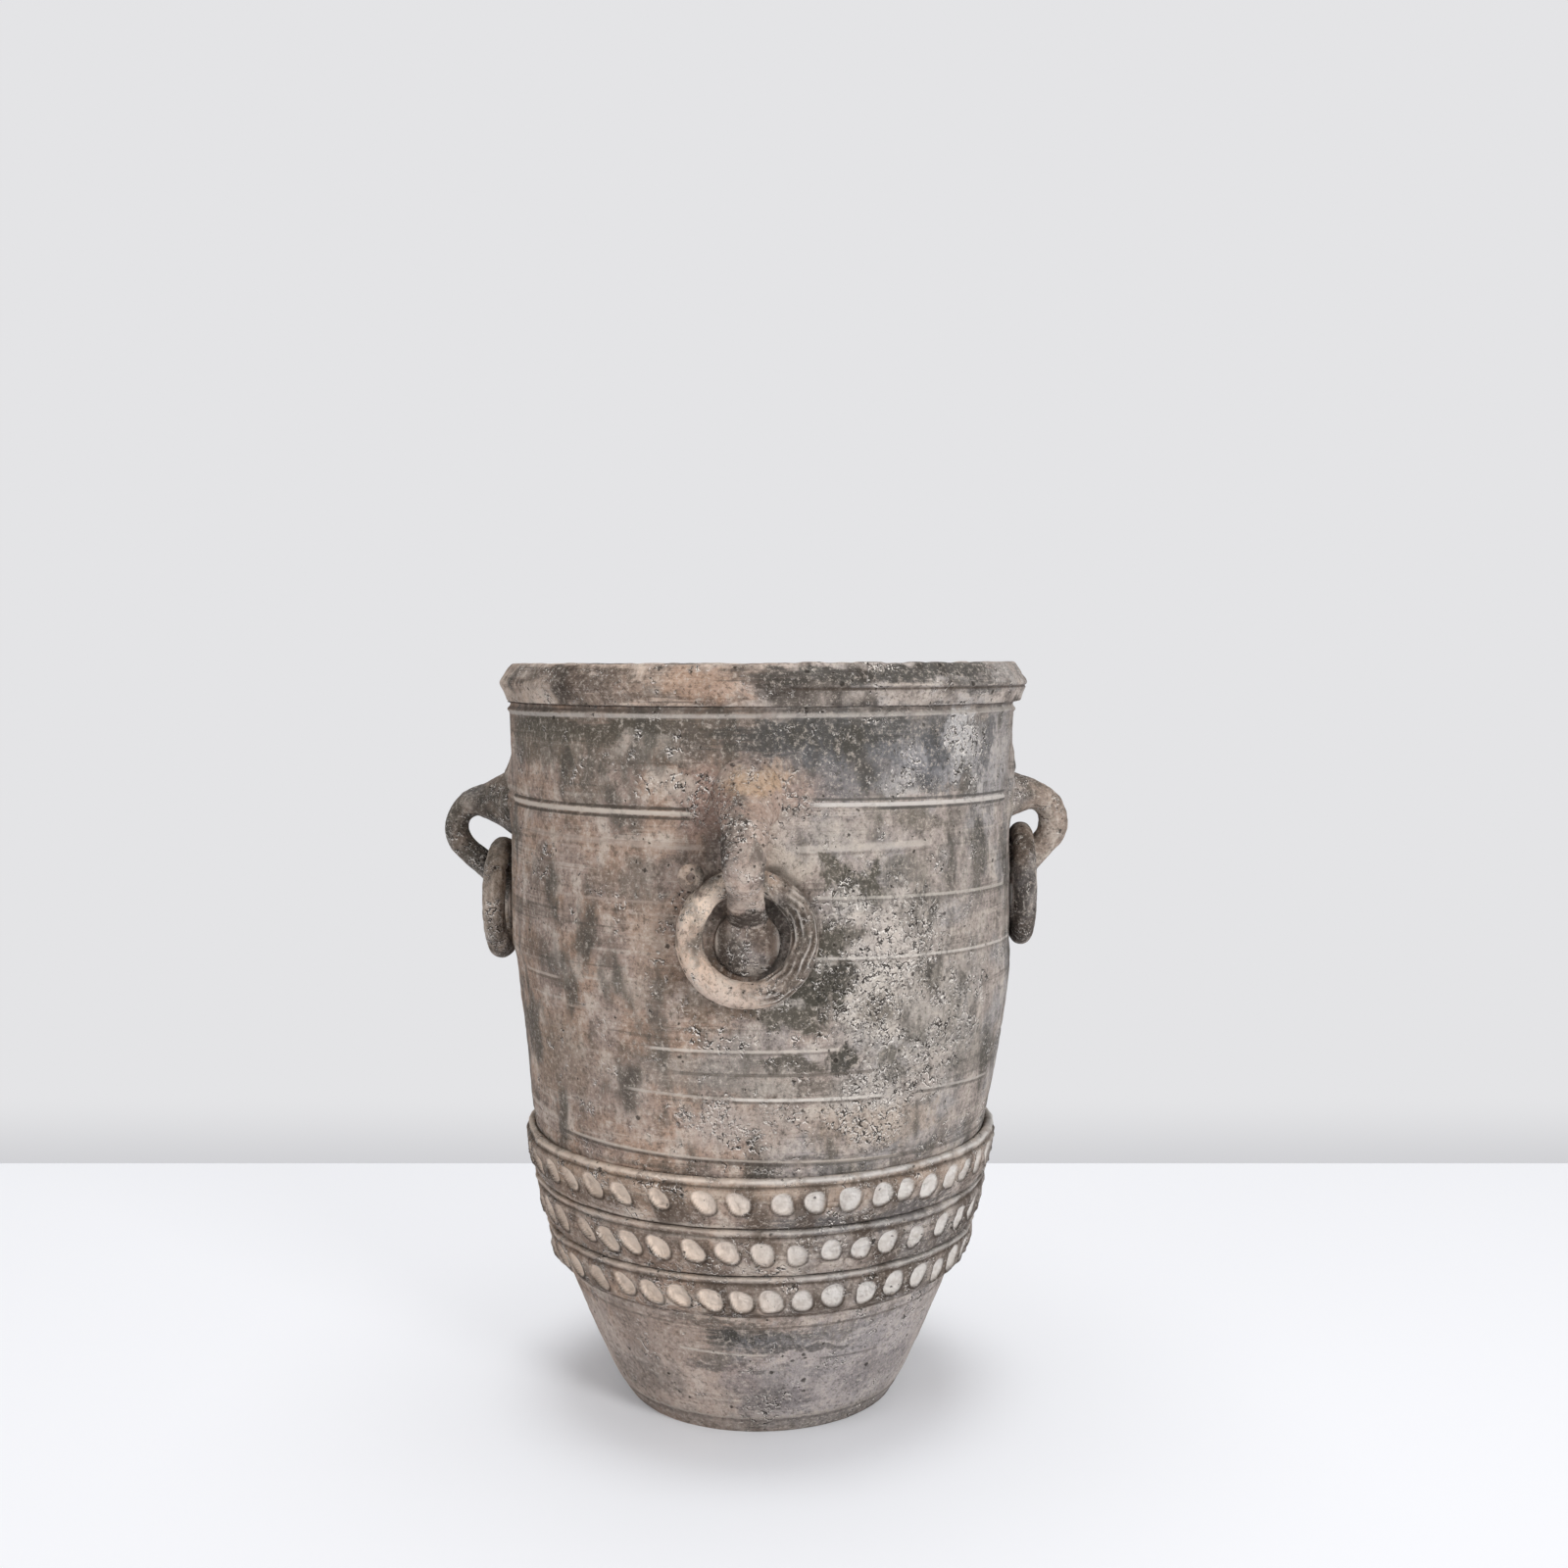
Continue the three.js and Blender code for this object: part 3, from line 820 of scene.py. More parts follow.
WALL_LINES = (
    Line(427.7, 1.5, (196, 184, 172), 1.0, 0.0, -72, -11),
    Line(430.7, 0.9, CUT_LINE, 0.85, 0.0, -72, -11, 0.6),
    Line(424.7, 0.9, CUT_LINE, 0.85, 0.0, -72, -11, 0.6),
    Line(434.3, 1.4, (208, 201, 195), 0.95, -0.055, 13, 74),
    Line(437.7, 0.9, (88, 84, 80), 0.85, -0.055, 13, 74, 0.6),
    Line(432.0, 0.9, (88, 84, 80), 0.85, -0.055, 27, 74, 0.6),
    Line(431.0, 1.9, (186, 174, 162), 0.8, 0.0, 96, 262),
    Line(434.2, 0.9, (84, 76, 68), 0.8, 0.0, 96, 262, 0.6),
    Line(488.5, 1.5, (196, 188, 180), 0.6, 0.02),
    Line(491.8, 1.0, (92, 84, 78), 0.6, 0.02),
    Line(495.2, 0.9, (70, 64, 58), 0.7),
    Line(406.5, 2.0, (182, 166, 154), 0.5, -0.07, -58, -9),
    Line(406.0, 2.2, (198, 188, 178), 0.55, 0.03, 9, 40),
    Line(403.0, 0.9, (110, 100, 92), 0.35, 0.0, 10, 40, 0.2),
    Line(377.2, 1.0, (196, 188, 178), 0.6, -0.09, 13, 72),
    Line(375.3, 0.8, (106, 100, 94), 0.4, -0.09, 13, 72, 0.2),
    Line(372.0, 0.9, (176, 160, 148), 0.4, 0.0, -46, -18),
    Line(339.4, 0.9, (208, 200, 192), 0.7, -0.1, 10, 80),
    Line(337.6, 0.8, (112, 104, 96), 0.45, -0.1, 16, 80, 0.2),
    Line(316.0, 0.9, (190, 176, 164), 0.6, 0.0, -62, -46),
    Line(314.0, 0.9, (96, 84, 74), 0.6, 0.0, -62, -46, 0.3),
    Line(300.0, 0.9, (176, 160, 146), 0.4, 0.03, -50, -24),
    Line(279.1, 1.0, (200, 190, 180), 0.75, 0.02, -22, 19),
    Line(277.2, 0.8, (104, 96, 88), 0.45, 0.02, -22, 19, 0.2),
    Line(263.5, 1.1, (104, 96, 88), 0.7, 0.0, -16, 28, 0.4),
    Line(247.7, 1.0, (188, 178, 168), 0.6, -0.08, -28, -4),
    Line(247.7, 1.1, (212, 204, 196), 0.9, -0.04, -4, 30),
    Line(245.8, 0.9, (96, 88, 80), 0.6, -0.04, -4, 30, 0.2),
    Line(253.0, 1.0, (92, 86, 80), 0.65, -0.21, 38, 68, 0.4),
    Line(255.0, 0.9, (190, 182, 174), 0.6, -0.21, 38, 68),
    Line(205.0, 1.4, (70, 62, 56), 0.7, -0.1, -52, 8, 0.5),
    Line(206.8, 1.0, (200, 188, 176), 0.6, -0.1, -46, 36),
    Line(204.4, 1.2, (84, 78, 72), 0.55, -0.045, 6, 78, 0.5),
    Line(66.5, 0.9, (198, 188, 178), 0.7, -0.1, -22, 4),
    Line(63.0, 0.9, (92, 88, 84), 0.55, -0.1, 20, 42, 0.3),
    Line(88.0, 1.0, (96, 86, 78), 0.5, 0.0, -70, 70, 0.3),
    Line(10.5, 1.4, (88, 80, 74), 0.45),
    Line(13.4, 0.9, (172, 162, 152), 0.5),
)
COLLAR_PATCHES = (
    stroke(0, 516, 400, 5, (118, 104, 94), 0.35),
    stroke(-40, 511, 24, 6, (84, 70, 60), 0.75),
    stroke(-28, 501, 16, 5, (92, 77, 66), 0.65),
    stroke(-55, 503, 12, 6, (176, 158, 144), 0.6),
    stroke(-20, 508, 6, 5, (168, 146, 130), 0.6),
    Patch(-7, 509, 8, 9, (176, 141, 116), 0.6, 0.5),
    stroke(-5, 500, 7, 3, (104, 82, 68), 0.6),
    stroke(3, 514, 7, 5, (104, 90, 80), 0.65),
    stroke(34, 514, 31, 6, (78, 75, 71), 0.95),
    stroke(28, 500, 26, 4, (176, 164, 154), 0.6),
    stroke(12, 505, 8, 3, (96, 88, 80), 0.6),
    stroke(52, 505, 12, 4, (88, 84, 80), 0.7),
    stroke(64, 512, 7, 7, (166, 160, 156), 0.6),
)
FRONT_HANDLE_PATCHES = (
    Patch(0, 432, 14, 16, (178, 152, 138), 0.5, 0.5, 0.2),
    Patch(0.8, 408, 4, 18, (194, 177, 165), 0.4, 0.3, 0.15),
    Patch(3, 450, 7, 7, (202, 170, 138), 0.6, 0.6),
    Patch(-7, 428, 5, 22, (150, 122, 110), 0.75, 0.5, 0.3),
    # Painted shade along the strap's left edge
    Patch(-3.6, 412, 1.2, 16, (78, 66, 60), 0.75, 0.4),
    # Painted highlight on the strap's lower bulge
    Patch(0, 381, 12, 8, (204, 184, 169), 0.5, 0.3, 0.1),
    # Painted shadow under the strap's lower end
    Patch(0, 364, 14, 6, (66, 58, 52), 0.9, 0.2),
)
RING_PATCHES = (
    Patch(-9, 380, 4, 13, (244, 222, 202), 0.75, 0.4),
    Patch(-11.5, 391, 3.4, 9, (176, 156, 142), 0.85, 0.2),
    Patch(-10.4, 388, 1.2, 5, (96, 82, 73), 0.7, 0.3),
    Patch(8, 366, 2.5, 12, (62, 58, 53), 0.7, 0.4),
)
BAND_PATCHES = (
    Patch(0, 190, 60, 11, (184, 158, 136), 0.5, 0.5),
    stroke(28, 164, 26, 7, (90, 87, 87), 0.85),
    stroke(50, 136, 18, 9, (96, 92, 90), 0.7),
    stroke(-6, 148, 26, 6, (104, 90, 79), 0.6),
    stroke(-42, 176, 22, 6, (112, 94, 80), 0.6),
    stroke(-36, 138, 26, 8, (118, 100, 87), 0.5),
    stroke(12, 116, 30, 7, (110, 99, 90), 0.5),
)
# The tongues lie in shade below the straps, so their clay is painted darker than the wall as painted shade
SHADED_TONGUE = ClayFinish("tongue_clay", "pot", (132, 118, 110), (120, 110, 103), dark=(62, 55, 49), stains=0.5,
                    curls=0.3, pits=0.2, seed=12, pressed=True)
FINISHES = {
    "wall": ClayFinish(
        "jar_clay", "pot", (170, 143, 125), (172, 165, 161), stains=0.36, curls=0.1, pits=0.1,
        smooth_left=0.6, patches=WALL_PATCHES, lines=WALL_LINES, turned=1.35, clean_below=100.0, ring_shaded=True),
    "inside": ClayFinish(
        "inner_clay", "pot", (138, 122, 110), (146, 140, 136), stains=0.5, seed=1, turned=0.8),
    "collar": ClayFinish(
        "collar_clay", "collar", (222, 200, 183), (196, 188, 182), dark=(56, 49, 43), stains=0.4, curls=0.2,
        seed=2, patches=COLLAR_PATCHES, turned=1.8, pressed=True),
    "bands": ClayFinish(
        "band_clay", "bands", (176, 150, 131), (176, 167, 160), dark=(78, 65, 55), stains=0.5, curls=0.3,
        pits=0.08, seed=3, patches=BAND_PATCHES, turned=2.0, pressed=True),
    "FRONT": ClayFinish(
        "front_handle_clay", "handle_front", (176, 152, 138), (170, 152, 141), dark=(66, 58, 52), stains=0.32,
        curls=0.2, pits=0.24, seed=4, patches=FRONT_HANDLE_PATCHES),
    "RIGHT": ClayFinish(
        "right_handle_clay", "handle_right", (158, 144, 132), (152, 140, 130), curls=0.3, seed=5),
    "BACK": ClayFinish(
        "back_handle_clay", "handle_back", (146, 132, 120), (148, 138, 128), curls=0.3, seed=6),
    "LEFT": ClayFinish(
        "left_handle_clay", "handle_left", (116, 108, 100), (116, 108, 100), stains=0.6, curls=0.4, pits=0.25,
        seed=7),
    "ring_FRONT": ClayFinish(
        "front_ring_clay", "ring_front", (234, 207, 186), (92, 88, 83), stains=0.18, curls=0.2, pits=0.25,
        seed=8, change=(0.03, 0.12), patches=RING_PATCHES, pressed=True),
    "ring_RIGHT": ClayFinish(
        "right_ring_clay", "ring_right", (112, 98, 87), (100, 92, 84), dark=(58, 51, 45), stains=0.5,
        curls=0.3, seed=9, pressed=True),
    "ring_BACK": ClayFinish(
        "back_ring_clay", "ring_back", (144, 130, 118), (144, 132, 120), curls=0.25, seed=10),
    "ring_LEFT": ClayFinish(
        "left_ring_clay", "ring_left", (204, 187, 170), (204, 187, 170), dark=(62, 54, 46), stains=0.5,
        curls=0.4, seed=11, pressed=True),
}

# Colours that every finish shares
HUES = ((166, 138, 120), (140, 138, 142))
# A curl's painted highlight, and its crack
CURL_HIGHLIGHT, CURL_CRACK = (234, 227, 220), (50, 43, 38)
# Painted shade round the edge of a resting ring
RING_SHADE_COLOUR = (74, 62, 53)
PIT_HOLE = (48, 42, 37)
PRESS_SLIP = ((234, 216, 200), (222, 217, 212))
# A press's smudge, the painted shade in hollows under edges, and the painted shadow along a press's lip
PRESS_SMUDGE, PRESS_SHADE, PRESS_LIP_SHADOW = (160, 144, 132), (66, 54, 45), (52, 41, 33)
# Millimetres across a stain, and across the painted shade beside a ring
STAIN_SIZE = 30.0
RING_SHADE_WIDTH = 5.0
# Millimetres by which one more seed shifts the noise
SEED_SHIFT = (37.0, 11.0, 53.0)


@dataclass
class ClayMaterial:
    """A clay finish made into a material, its colour laid on coat over coat.

    Args:
        finish: what sets this piece's surface apart.
        effects: the shared node groups.
    """

    finish: ClayFinish
    effects: Effects
    material: bpy.types.Material = field(init=False)
    graph: Graph = field(init=False)
    colour: Value = field(init=False)
    height: Value = field(init=False)

    def __post_init__(self) -> None:
        self.material = bpy.data.materials.new(self.finish.name)
        self.graph = graph = start_nodes(self.material)
        self.spot = graph.group(self.effects.place, Object=graph.object_place())
        self.right = self.spot["Right"]
        shift = tuple(self.finish.seed * part for part in SEED_SHIFT)
        self.here = graph.vector("ADD", self.spot["Place"], shift)
        self.lively = 1.0 - graph.step(self.right, 0.02, -0.3) * self.finish.smooth_left
        self.worn = graph.step(graph.noise(self.here, 0.12, 4), 0.32, 0.48, 0.5, 1.0)
        self.grain = graph.noise(self.here, 0.3, 5, 0.72)
        self.height = self.grain * (self.lively * 2.0 + 0.9)
        self.colour = graph.mix(graph.step(self.right, *self.finish.change), self.finish.warm,
                                self.finish.cool)
        self.lay_slip()
        if self.finish.turned:
            self.lay_turning()
        crust = self.lay_patches()
        stain = self.lay_stains()
        self.lay_curls(crust)
        self.lay_lines()
        if self.finish.ring_shaded:
            self.lay_ring_shades()
        if self.finish.pressed:
            self.lay_presses()
        self.lay_pits()
        bump = graph.add("ShaderNodeBump", {"Strength": 0.9, "Distance": MM, "Height": self.height})
        shader = graph.add("ShaderNodeBsdfPrincipled", {
            "Base Color": self.colour, "Roughness": graph.step(stain, 0.0, 1.0, 0.82, 0.72), "Normal": bump,
            "Specular IOR Level": 0.25})
        graph.node("ShaderNodeOutputMaterial", {"Surface": shader})

    def coat(self, share: Input, colour: Value | Colour) -> None:
        """Lays a colour over a share of the clay."""
        self.colour = self.graph.mix(share, self.colour, colour)

    def lay_slip(self) -> None:
        """Lays soft clouds and mottling over the warm and the cool side."""
        graph, here, dark, pale = self.graph, self.here, self.finish.dark, self.finish.pale
        hue = graph.step(graph.noise(here, 0.03, 3, 0.5), 0.4, 0.6)
        self.coat(0.3, graph.mix(hue, *HUES))
        self.coat(graph.step(graph.noise(here, 0.018, 4, 0.6), 0.34, 0.66, 0.2, 0.0), dark)
        mottle = graph.noise(here, 0.06, 6, 0.62, (1.0, 1.0, 0.7))
        self.coat(graph.step(mottle, 0.52, 0.34, 0.0, 0.6), dark)
        self.coat(graph.step(mottle, 0.5, 0.64, 0.0, 0.55), pale)

    def lay_turning(self) -> None:
        """Draws the potter's fine turning lines, pale and dark."""
        graph, turned = self.graph, self.finish.turned
        coarse, fine = [
            graph.group(self.effects.turning, Place=self.here, Pitch=pitch)["Light"] for pitch in (6.0, 2.6)
        ]
        lines = coarse + fine * 0.6
        self.coat(graph.step(lines, 0.03, 0.17, 0.0, 0.3 * turned), self.finish.pale)
        self.coat(graph.step(lines, -0.03, -0.17, 0.0, 0.36 * turned), self.finish.dark)
        self.height += lines * 2.4

    def lay_patches(self) -> Value:
        """Lays the patches, and gives the share of curls with their crusts."""
        graph = self.graph
        drips, strokes = [
            (graph.noise(self.here, 0.2, 6, 0.7, stretch) - 0.5) * 2.0
            for stretch in ((1.0, 1.0, 0.42), (0.15, 0.15, 2.6))
        ]
        curled = self.lively * self.finish.curls
        for patch in self.finish.patches:
            mask = graph.group(
                self.effects.patch, Azimuth=self.spot["Loose Azimuth"], Height=self.spot["Loose Height"],
                Ragged=strokes if patch.brushed else drips, At=patch.at, Level=patch.level,
                Half_Width=patch.half_width, Half_Height=patch.half_height, Softness=patch.softness)["Mask"]
            self.coat(mask * patch.strength, patch.colour)
            if patch.crust:
                curled += mask * patch.crust
        return curled

    def lay_stains(self) -> Value:
        """Lays the stains, the grain and the specks, and gives the mask of the stains."""
        graph, dark, pale, low = self.graph, self.finish.dark, self.finish.pale, self.finish.clean_below
        stain = graph.group(self.effects.stain, Place=self.here, Size=STAIN_SIZE,
                            Share=self.finish.stains)["Mask"]
        stain *= graph.step(self.spot["Loose Height"], low - 12, low, 0.25, 1.0)
        self.coat(stain * 0.78, dark)
        self.coat(graph.step(self.grain, 0.49, 0.35, 0.0, 0.56), dark)
        self.coat(graph.step(self.grain, 0.52, 0.66, 0.0, 0.5), pale)
        specks = graph.noise(self.here, 0.55, 3, 0.6, (1.0, 1.0, 1.4))
        specked = self.lively * 0.22 + 0.1
        self.coat(graph.step(specks, 0.6, 0.66) * specked, pale)
        self.coat(graph.step(specks, 0.4, 0.33) * specked, dark)
        return stain

    def lay_curls(self, share: Value) -> None:
        """Lays large and small curls of lifted slip over a share of the clay."""
        for size, strength, lift in ((9.0, 0.95, 1.5), (5.0, 0.85, 0.9)):
            curl = self.graph.group(self.effects.curls, Place=self.here, Size=size, Share=share)
            self.coat(curl["Bright"] * (strength * 0.9), CURL_HIGHLIGHT)
            self.coat(curl["Dark"] * strength, CURL_CRACK)
            self.height += curl["Lift"] * lift

    def lay_lines(self) -> None:
        """Lays the lines turned into the pot."""
        for line in self.finish.lines:
            mask = self.graph.group(
                self.effects.line, Azimuth=self.spot["Azimuth"], Height=self.spot["Height"], Level=line.level,
                Climb=line.climb, Half_Width=line.half_width, From=line.start, To=line.end)["Mask"]
            self.coat(mask * self.worn * line.strength, line.colour)
            if line.depth:
                self.height += mask * -line.depth

    def lay_ring_shades(self) -> None:
        """Lays painted shade on the wall round the edges of the resting rings."""
        for side in Side:
            ring_shade = self.graph.group(
                self.effects.ring_shade, Azimuth=self.spot["Azimuth"], Height=self.spot["Height"], At=side.azimuth,
                Level=side.ring_level, Radius=RING_RADIUS + RING_TUBE / 2, Width=RING_SHADE_WIDTH)["Mask"]
            self.coat(ring_shade * self.worn * 0.62, RING_SHADE_COLOUR)

    def lay_presses(self) -> None:
        """Dresses what a thumb or tool has pressed: clean slip, a painted highlight on the ridges, painted
        shade in the hollows under the edges and a painted shadow along each press's lip.
        """
        graph, here = self.graph, self.here
        wash, lip, ridge, under = [
            graph.add("ShaderNodeAttribute", output="Fac", attribute_name=name)
            for name in ("wash", "lip", "ridge", "under")
        ]
        slip = graph.mix(graph.step(self.right, -0.34, 0.4), *PRESS_SLIP)
        smudge = graph.step(graph.noise(here, 0.16, 5, 0.6), 0.42, 0.66, 0.0, 0.35)
        worn = graph.step(graph.noise(here, 0.07, 4), 0.34, 0.5, 0.35, 1.0)
        self.coat(wash * 0.97, graph.mix(smudge, slip, PRESS_SMUDGE))
        # Painted shade in the hollows, a painted highlight on the ridges and a painted shadow along each lip
        self.coat(under * 0.75, PRESS_SHADE)
        self.coat(ridge * worn * 0.85, slip)
        self.coat(lip * 0.9, PRESS_LIP_SHADOW)

    def lay_pits(self) -> None:
        """Lays large and small pits."""
        share = self.lively * self.finish.pits
        for size, deep in ((7.0, 1.2), (4.0, 0.8)):
            pit = self.graph.group(self.effects.pits, Place=self.here, Size=size, Share=share)
            self.coat(pit["Rim"] * 0.1, self.finish.pale)
            self.coat(pit["Hole"] * 0.8, PIT_HOLE)
            self.height += pit["Hole"] * -deep


@dataclass
class Part:
    """What every sub-assembly has: its pieces ride on a body and take a material."""

    effects: Effects
    pieces: list[Piece] = field(default_factory=list, init=False)

    def clay(self, finish: ClayFinish) -> bpy.types.Material:
        """Makes the material of a finish."""
        return ClayMaterial(finish, self.effects).material

    def keep(self, piece: Piece, body: str, node: str, material: bpy.types.Material, slot: str) -> None:
        """Finishes a piece: smooth shading, material, body and node."""
        choose(piece)
        bpy.ops.object.shade_smooth()
        piece.data.materials.clear()
        piece.data.materials.append(material)
        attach(piece, body)
        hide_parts(node)
        self.pieces.append(piece)


# The unevenness of the thrown wall: how far it goes, and its waves
WALL_RIPPLES = ((0.45, Ripple(3, 12, 5, 0.012)), (0.12, Ripple(8, 10, 2, 0.35)),
                (0.14, Ripple(5, 24, 26, 0.16)))
# Lines turned into the wall: height, depth and half width of each groove
WALL_GROOVES = ((10.5, 0.9, 1.7), (64.5, 0.5, 1.2), (205.3, 1.3, 1.7), (263.0, 0.5, 1.3),
                (425.6, 1.0, 1.3), (431.4, 1.0, 1.3))
# Faint ribs left standing on the wall: height, how far out and half width of each
WALL_RIBS = ((406.5, 0.45, 2.6), (376, 0.3, 1.4))
# The bead below the collar and the groove above it
NECK_BEAD = 488.6
NECK_GROOVE = NECK_BEAD + 3.6
# The clay smeared round each handle's root: the wall's radius there, half its width and height, and how
# far its middle is above the loop's
ROOT_RADIUS = 176
ROOT_HALF_WIDTH = 42
ROOT_HALF_HEIGHT = 30
ROOT_RISE = 28
# How far the wall is worn back behind each ring's hinge, which leaves room for the ring to turn, and half
# the width and height of that place
RING_ROOM = 0.9
ROOM_HALF_WIDTH = 26
ROOM_HALF_HEIGHT = 14
# The pot isn't quite round: by height, how far the belly leans right and how flat its right side is
LEAN_HEIGHTS = (0, 180, 215, 250, 300, 316, 326, 430, 494)
LEAN = (0, 0, 0.4, 2.2, 2.8, 2.2, 0.5, 0.5, 1.2)
FLAT_RIGHT = (1.2, 2.0, 0.8, 0, 0, 0, 0, 0, 0)


def lean(azimuth: Array, height: Array) -> Array:
    """How far the wall stands out or in where the pot isn't quite round."""
    right = np.sin(np.radians(azimuth))
    leaning = np.interp(height, LEAN_HEIGHTS, LEAN)
    return leaning * right - np.interp(height, LEAN_HEIGHTS, FLAT_RIGHT) * np.maximum(right, 0)


def wall_relief(azimuth: Array, height: Array) -> Array:
    """How far the hand-thrown wall stands off its even profile."""
    relief = sum(travel * ripple.at(azimuth, height) for travel, ripple in WALL_RIPPLES)
    for level, depth, half_width in WALL_GROOVES:
        waver = height + 0.5 * np.sin(np.radians(azimuth * 3 + level))
        relief -= depth * bell(waver - level, half_width)
    relief += lean(azimuth, height)
    relief += 1.4 * bell(height - NECK_BEAD, 1.5) - 0.8 * bell(height - NECK_GROOVE, 1.6)
    for level, out, half_width in WALL_RIBS:
        relief += out * bell(height - level, half_width)
    lumps = 1 + 0.3 * Ripple(17, 24, 44, 0.24).at(azimuth, height)
    for side in Side:
        spread = turn_gap(azimuth, side.azimuth) * np.radians(1) * ROOT_RADIUS
        root = np.hypot(spread / ROOT_HALF_WIDTH, (height - side.height - ROOT_RISE) / ROOT_HALF_HEIGHT)
        relief += side.lump * (1 - smoothstep(0.45, 1.15, root)) * lumps
        hinge = side.ring_level + RING_RADIUS
        relief -= RING_ROOM * bell(spread, ROOM_HALF_WIDTH) * bell(height - hinge, ROOM_HALF_HEIGHT)
    return relief


# Heights of the wall's corners, close together where it has grooves
LOWER_LEVELS = (0.0, 3, 7, 9.5, 11.5, 15, 24, 36, 48, 60, 65.5, 68, 78, 88, 96, 104, 120, 150, 180, 194, 199,
                203.9, SPLIT_HEIGHT)
UPPER_LEVELS = (SPLIT_HEIGHT, 206.8, 214, 226, 240, 252, 260.5, 264.5, 276, 290, 304, 318, 332, 346, 358,
                368, 374.5, 377.5, 388, 396, 404, 409, 418, 426.8, 428.9, 431.7, 434.6, 437, 446, 458, 470,
                480, 485.5, 488, 490.5, WALL_TOP)
UNDERSIDE = [(96.5, 0.8), (95.0, 0.15), (90.0, 0.0), (70.0, 0.0), (40.0, 0.0), (12.0, 0.0), (2.0, 0.0)]


@dataclass
class Jar(Part):
    """The thrown pot: its outer wall in two pieces, its underside, and its inside with the floor."""

    count: int = 160
    inside_count: int = 96

    def outer(self, name: str, levels: tuple[float, ...]) -> Piece:
        """Makes one piece of the outer wall, through these heights."""
        piece = turned(name, [(wall_radius(level), level) for level in levels], self.count)
        surface = Surface(piece)
        height = surface.height
        surface.set_radius(wall_radii(height) + wall_relief(surface.azimuth, height))
        surface.write()
        return piece

    def inside(self) -> Piece:
        """Makes the inner wall and floor, with soft finger lines from throwing."""
        top, corner = wall_radius(WALL_TOP), wall_radius(FLOOR_TOP) - WALL_THICKNESS
        outline = [(top + 1, WALL_TOP - 0.4), (top - 6, WALL_TOP - 0.4)]
        for level in np.linspace(WALL_TOP - 2, FLOOR_TOP + 14, 20):
            outline.append((wall_radius(level) - WALL_THICKNESS, float(level)))
        outline += [(corner - 5, FLOOR_TOP + 5), (corner - 14, FLOOR_TOP + 0.5), (corner * 0.6, FLOOR_TOP),
                    (corner * 0.25, FLOOR_TOP), (1.0, FLOOR_TOP)]
        piece = turned("jar_inside", outline, self.inside_count)
        surface = Surface(piece)
        azimuth, height = surface.azimuth, surface.height
        rings = 0.8 * np.sin(height * 0.42 + np.radians(azimuth))
        rings *= smoothstep(30, 60, height) * (1 - smoothstep(470, 485, height))
        surface.set_radius(surface.radius + rings + 0.5 * Ripple(31, 16, 6, 0.03).at(azimuth, height))
        surface.write()
        return piece

    def build(self, finish: ClayFinish, inner: ClayFinish) -> None:
        """Builds the jar in one finish and its inside in the other."""
        material = self.clay(finish)
        for name, levels in (("jar_wall_lower", LOWER_LEVELS), ("jar_wall_upper", UPPER_LEVELS)):
            self.keep(self.outer(name, levels), "pot", "pot_body", material, finish.slot)
        underside = turned("jar_underside", UNDERSIDE, self.count, 1)
        self.keep(underside, "pot", "pot_body", material, finish.slot)
        self.keep(self.inside(), "pot", "pot_body", self.clay(inner), inner.slot)


# The collar's outline: out from the wall's outside, or in from the mouth, and the height
COLLAR_FOOT = ((-2, 494.2), (3.4, 494.2), (4.6, 494.5), (5.1, 495.4), (6.0, 498.6), (7.4, 501.8),
               (8.8, 504.4), (9.3, 505.8), (9.4, 507.2), (9.0, 508.6), (6.6, 512.4), (4.0, 516.4),
               (2.0, 519.2), (1.0, 520.2), (-0.4, 520.5))
COLLAR_MOUTH = ((6, 520.4), (2.6, 519.2), (0.5, 515.6), (0, 510), (0, 502), (0.3, 495), (5, 494.2))
# Heights of the collar's worn lower ledge and of its upper edge
COLLAR_LEDGE = 505.0
COLLAR_EDGE = (516, 520)


@dataclass
class Collar(Part):
    """The bevelled coil that makes the mouth, worn and nicked along its edges."""

    count: int = 160
    narrow_left: float = 2.6

    def build(self, finish: ClayFinish) -> None:
        """Builds the collar."""
        outer = wall_radius(WALL_TOP)
        mouth = outer - WALL_THICKNESS
        inner = [(mouth + out, level) for out, level in COLLAR_MOUTH]
        outline = inner[-2:] + [(outer + out, level) for out, level in COLLAR_FOOT] + inner[:-2]
        piece = turned("rim_collar_clay", outline, self.count, closed=True)
        surface = Surface(piece)
        azimuth, height = surface.azimuth, surface.height
        outside = surface.radius > outer
        coarse = Ripple(41, 30, 30, 0.12).at(azimuth, height)
        fine = Ripple(42, 40, 90, 0.5).at(azimuth, height)
        right = smoothstep(4, 12, azimuth) * (1 - smoothstep(120, 150, azimuth))
        rough_edge = right * smoothstep(COLLAR_LEDGE + 0.5, COLLAR_LEDGE + 4, height)
        ledge = -1.3 * right * bell(height - COLLAR_LEDGE - 0.2, 0.9)
        shift = np.where(outside, 0.16 * coarse + (0.08 + 0.4 * rough_edge) * fine + ledge, 0.3 * coarse)
        leftward = np.maximum(-np.sin(np.radians(azimuth)), 0)
        shift += lean(azimuth, height) - self.narrow_left * leftward**3
        surface.set_radius(surface.radius + shift - 0.4)
        nicks = np.clip(0.5 + (0.2 + 0.5 * right) * (coarse + fine), 0, 2.4)
        surface.points[:, 2] += smoothstep(*COLLAR_EDGE, height) * (1.1 * right - nicks)
        surface.write(under=right * bell(height - COLLAR_LEDGE, 1.0) * outside)
        roughen(piece, 9, 0.35, 3)
        self.keep(piece, "pot", "rim_collar", self.clay(finish), finish.slot)


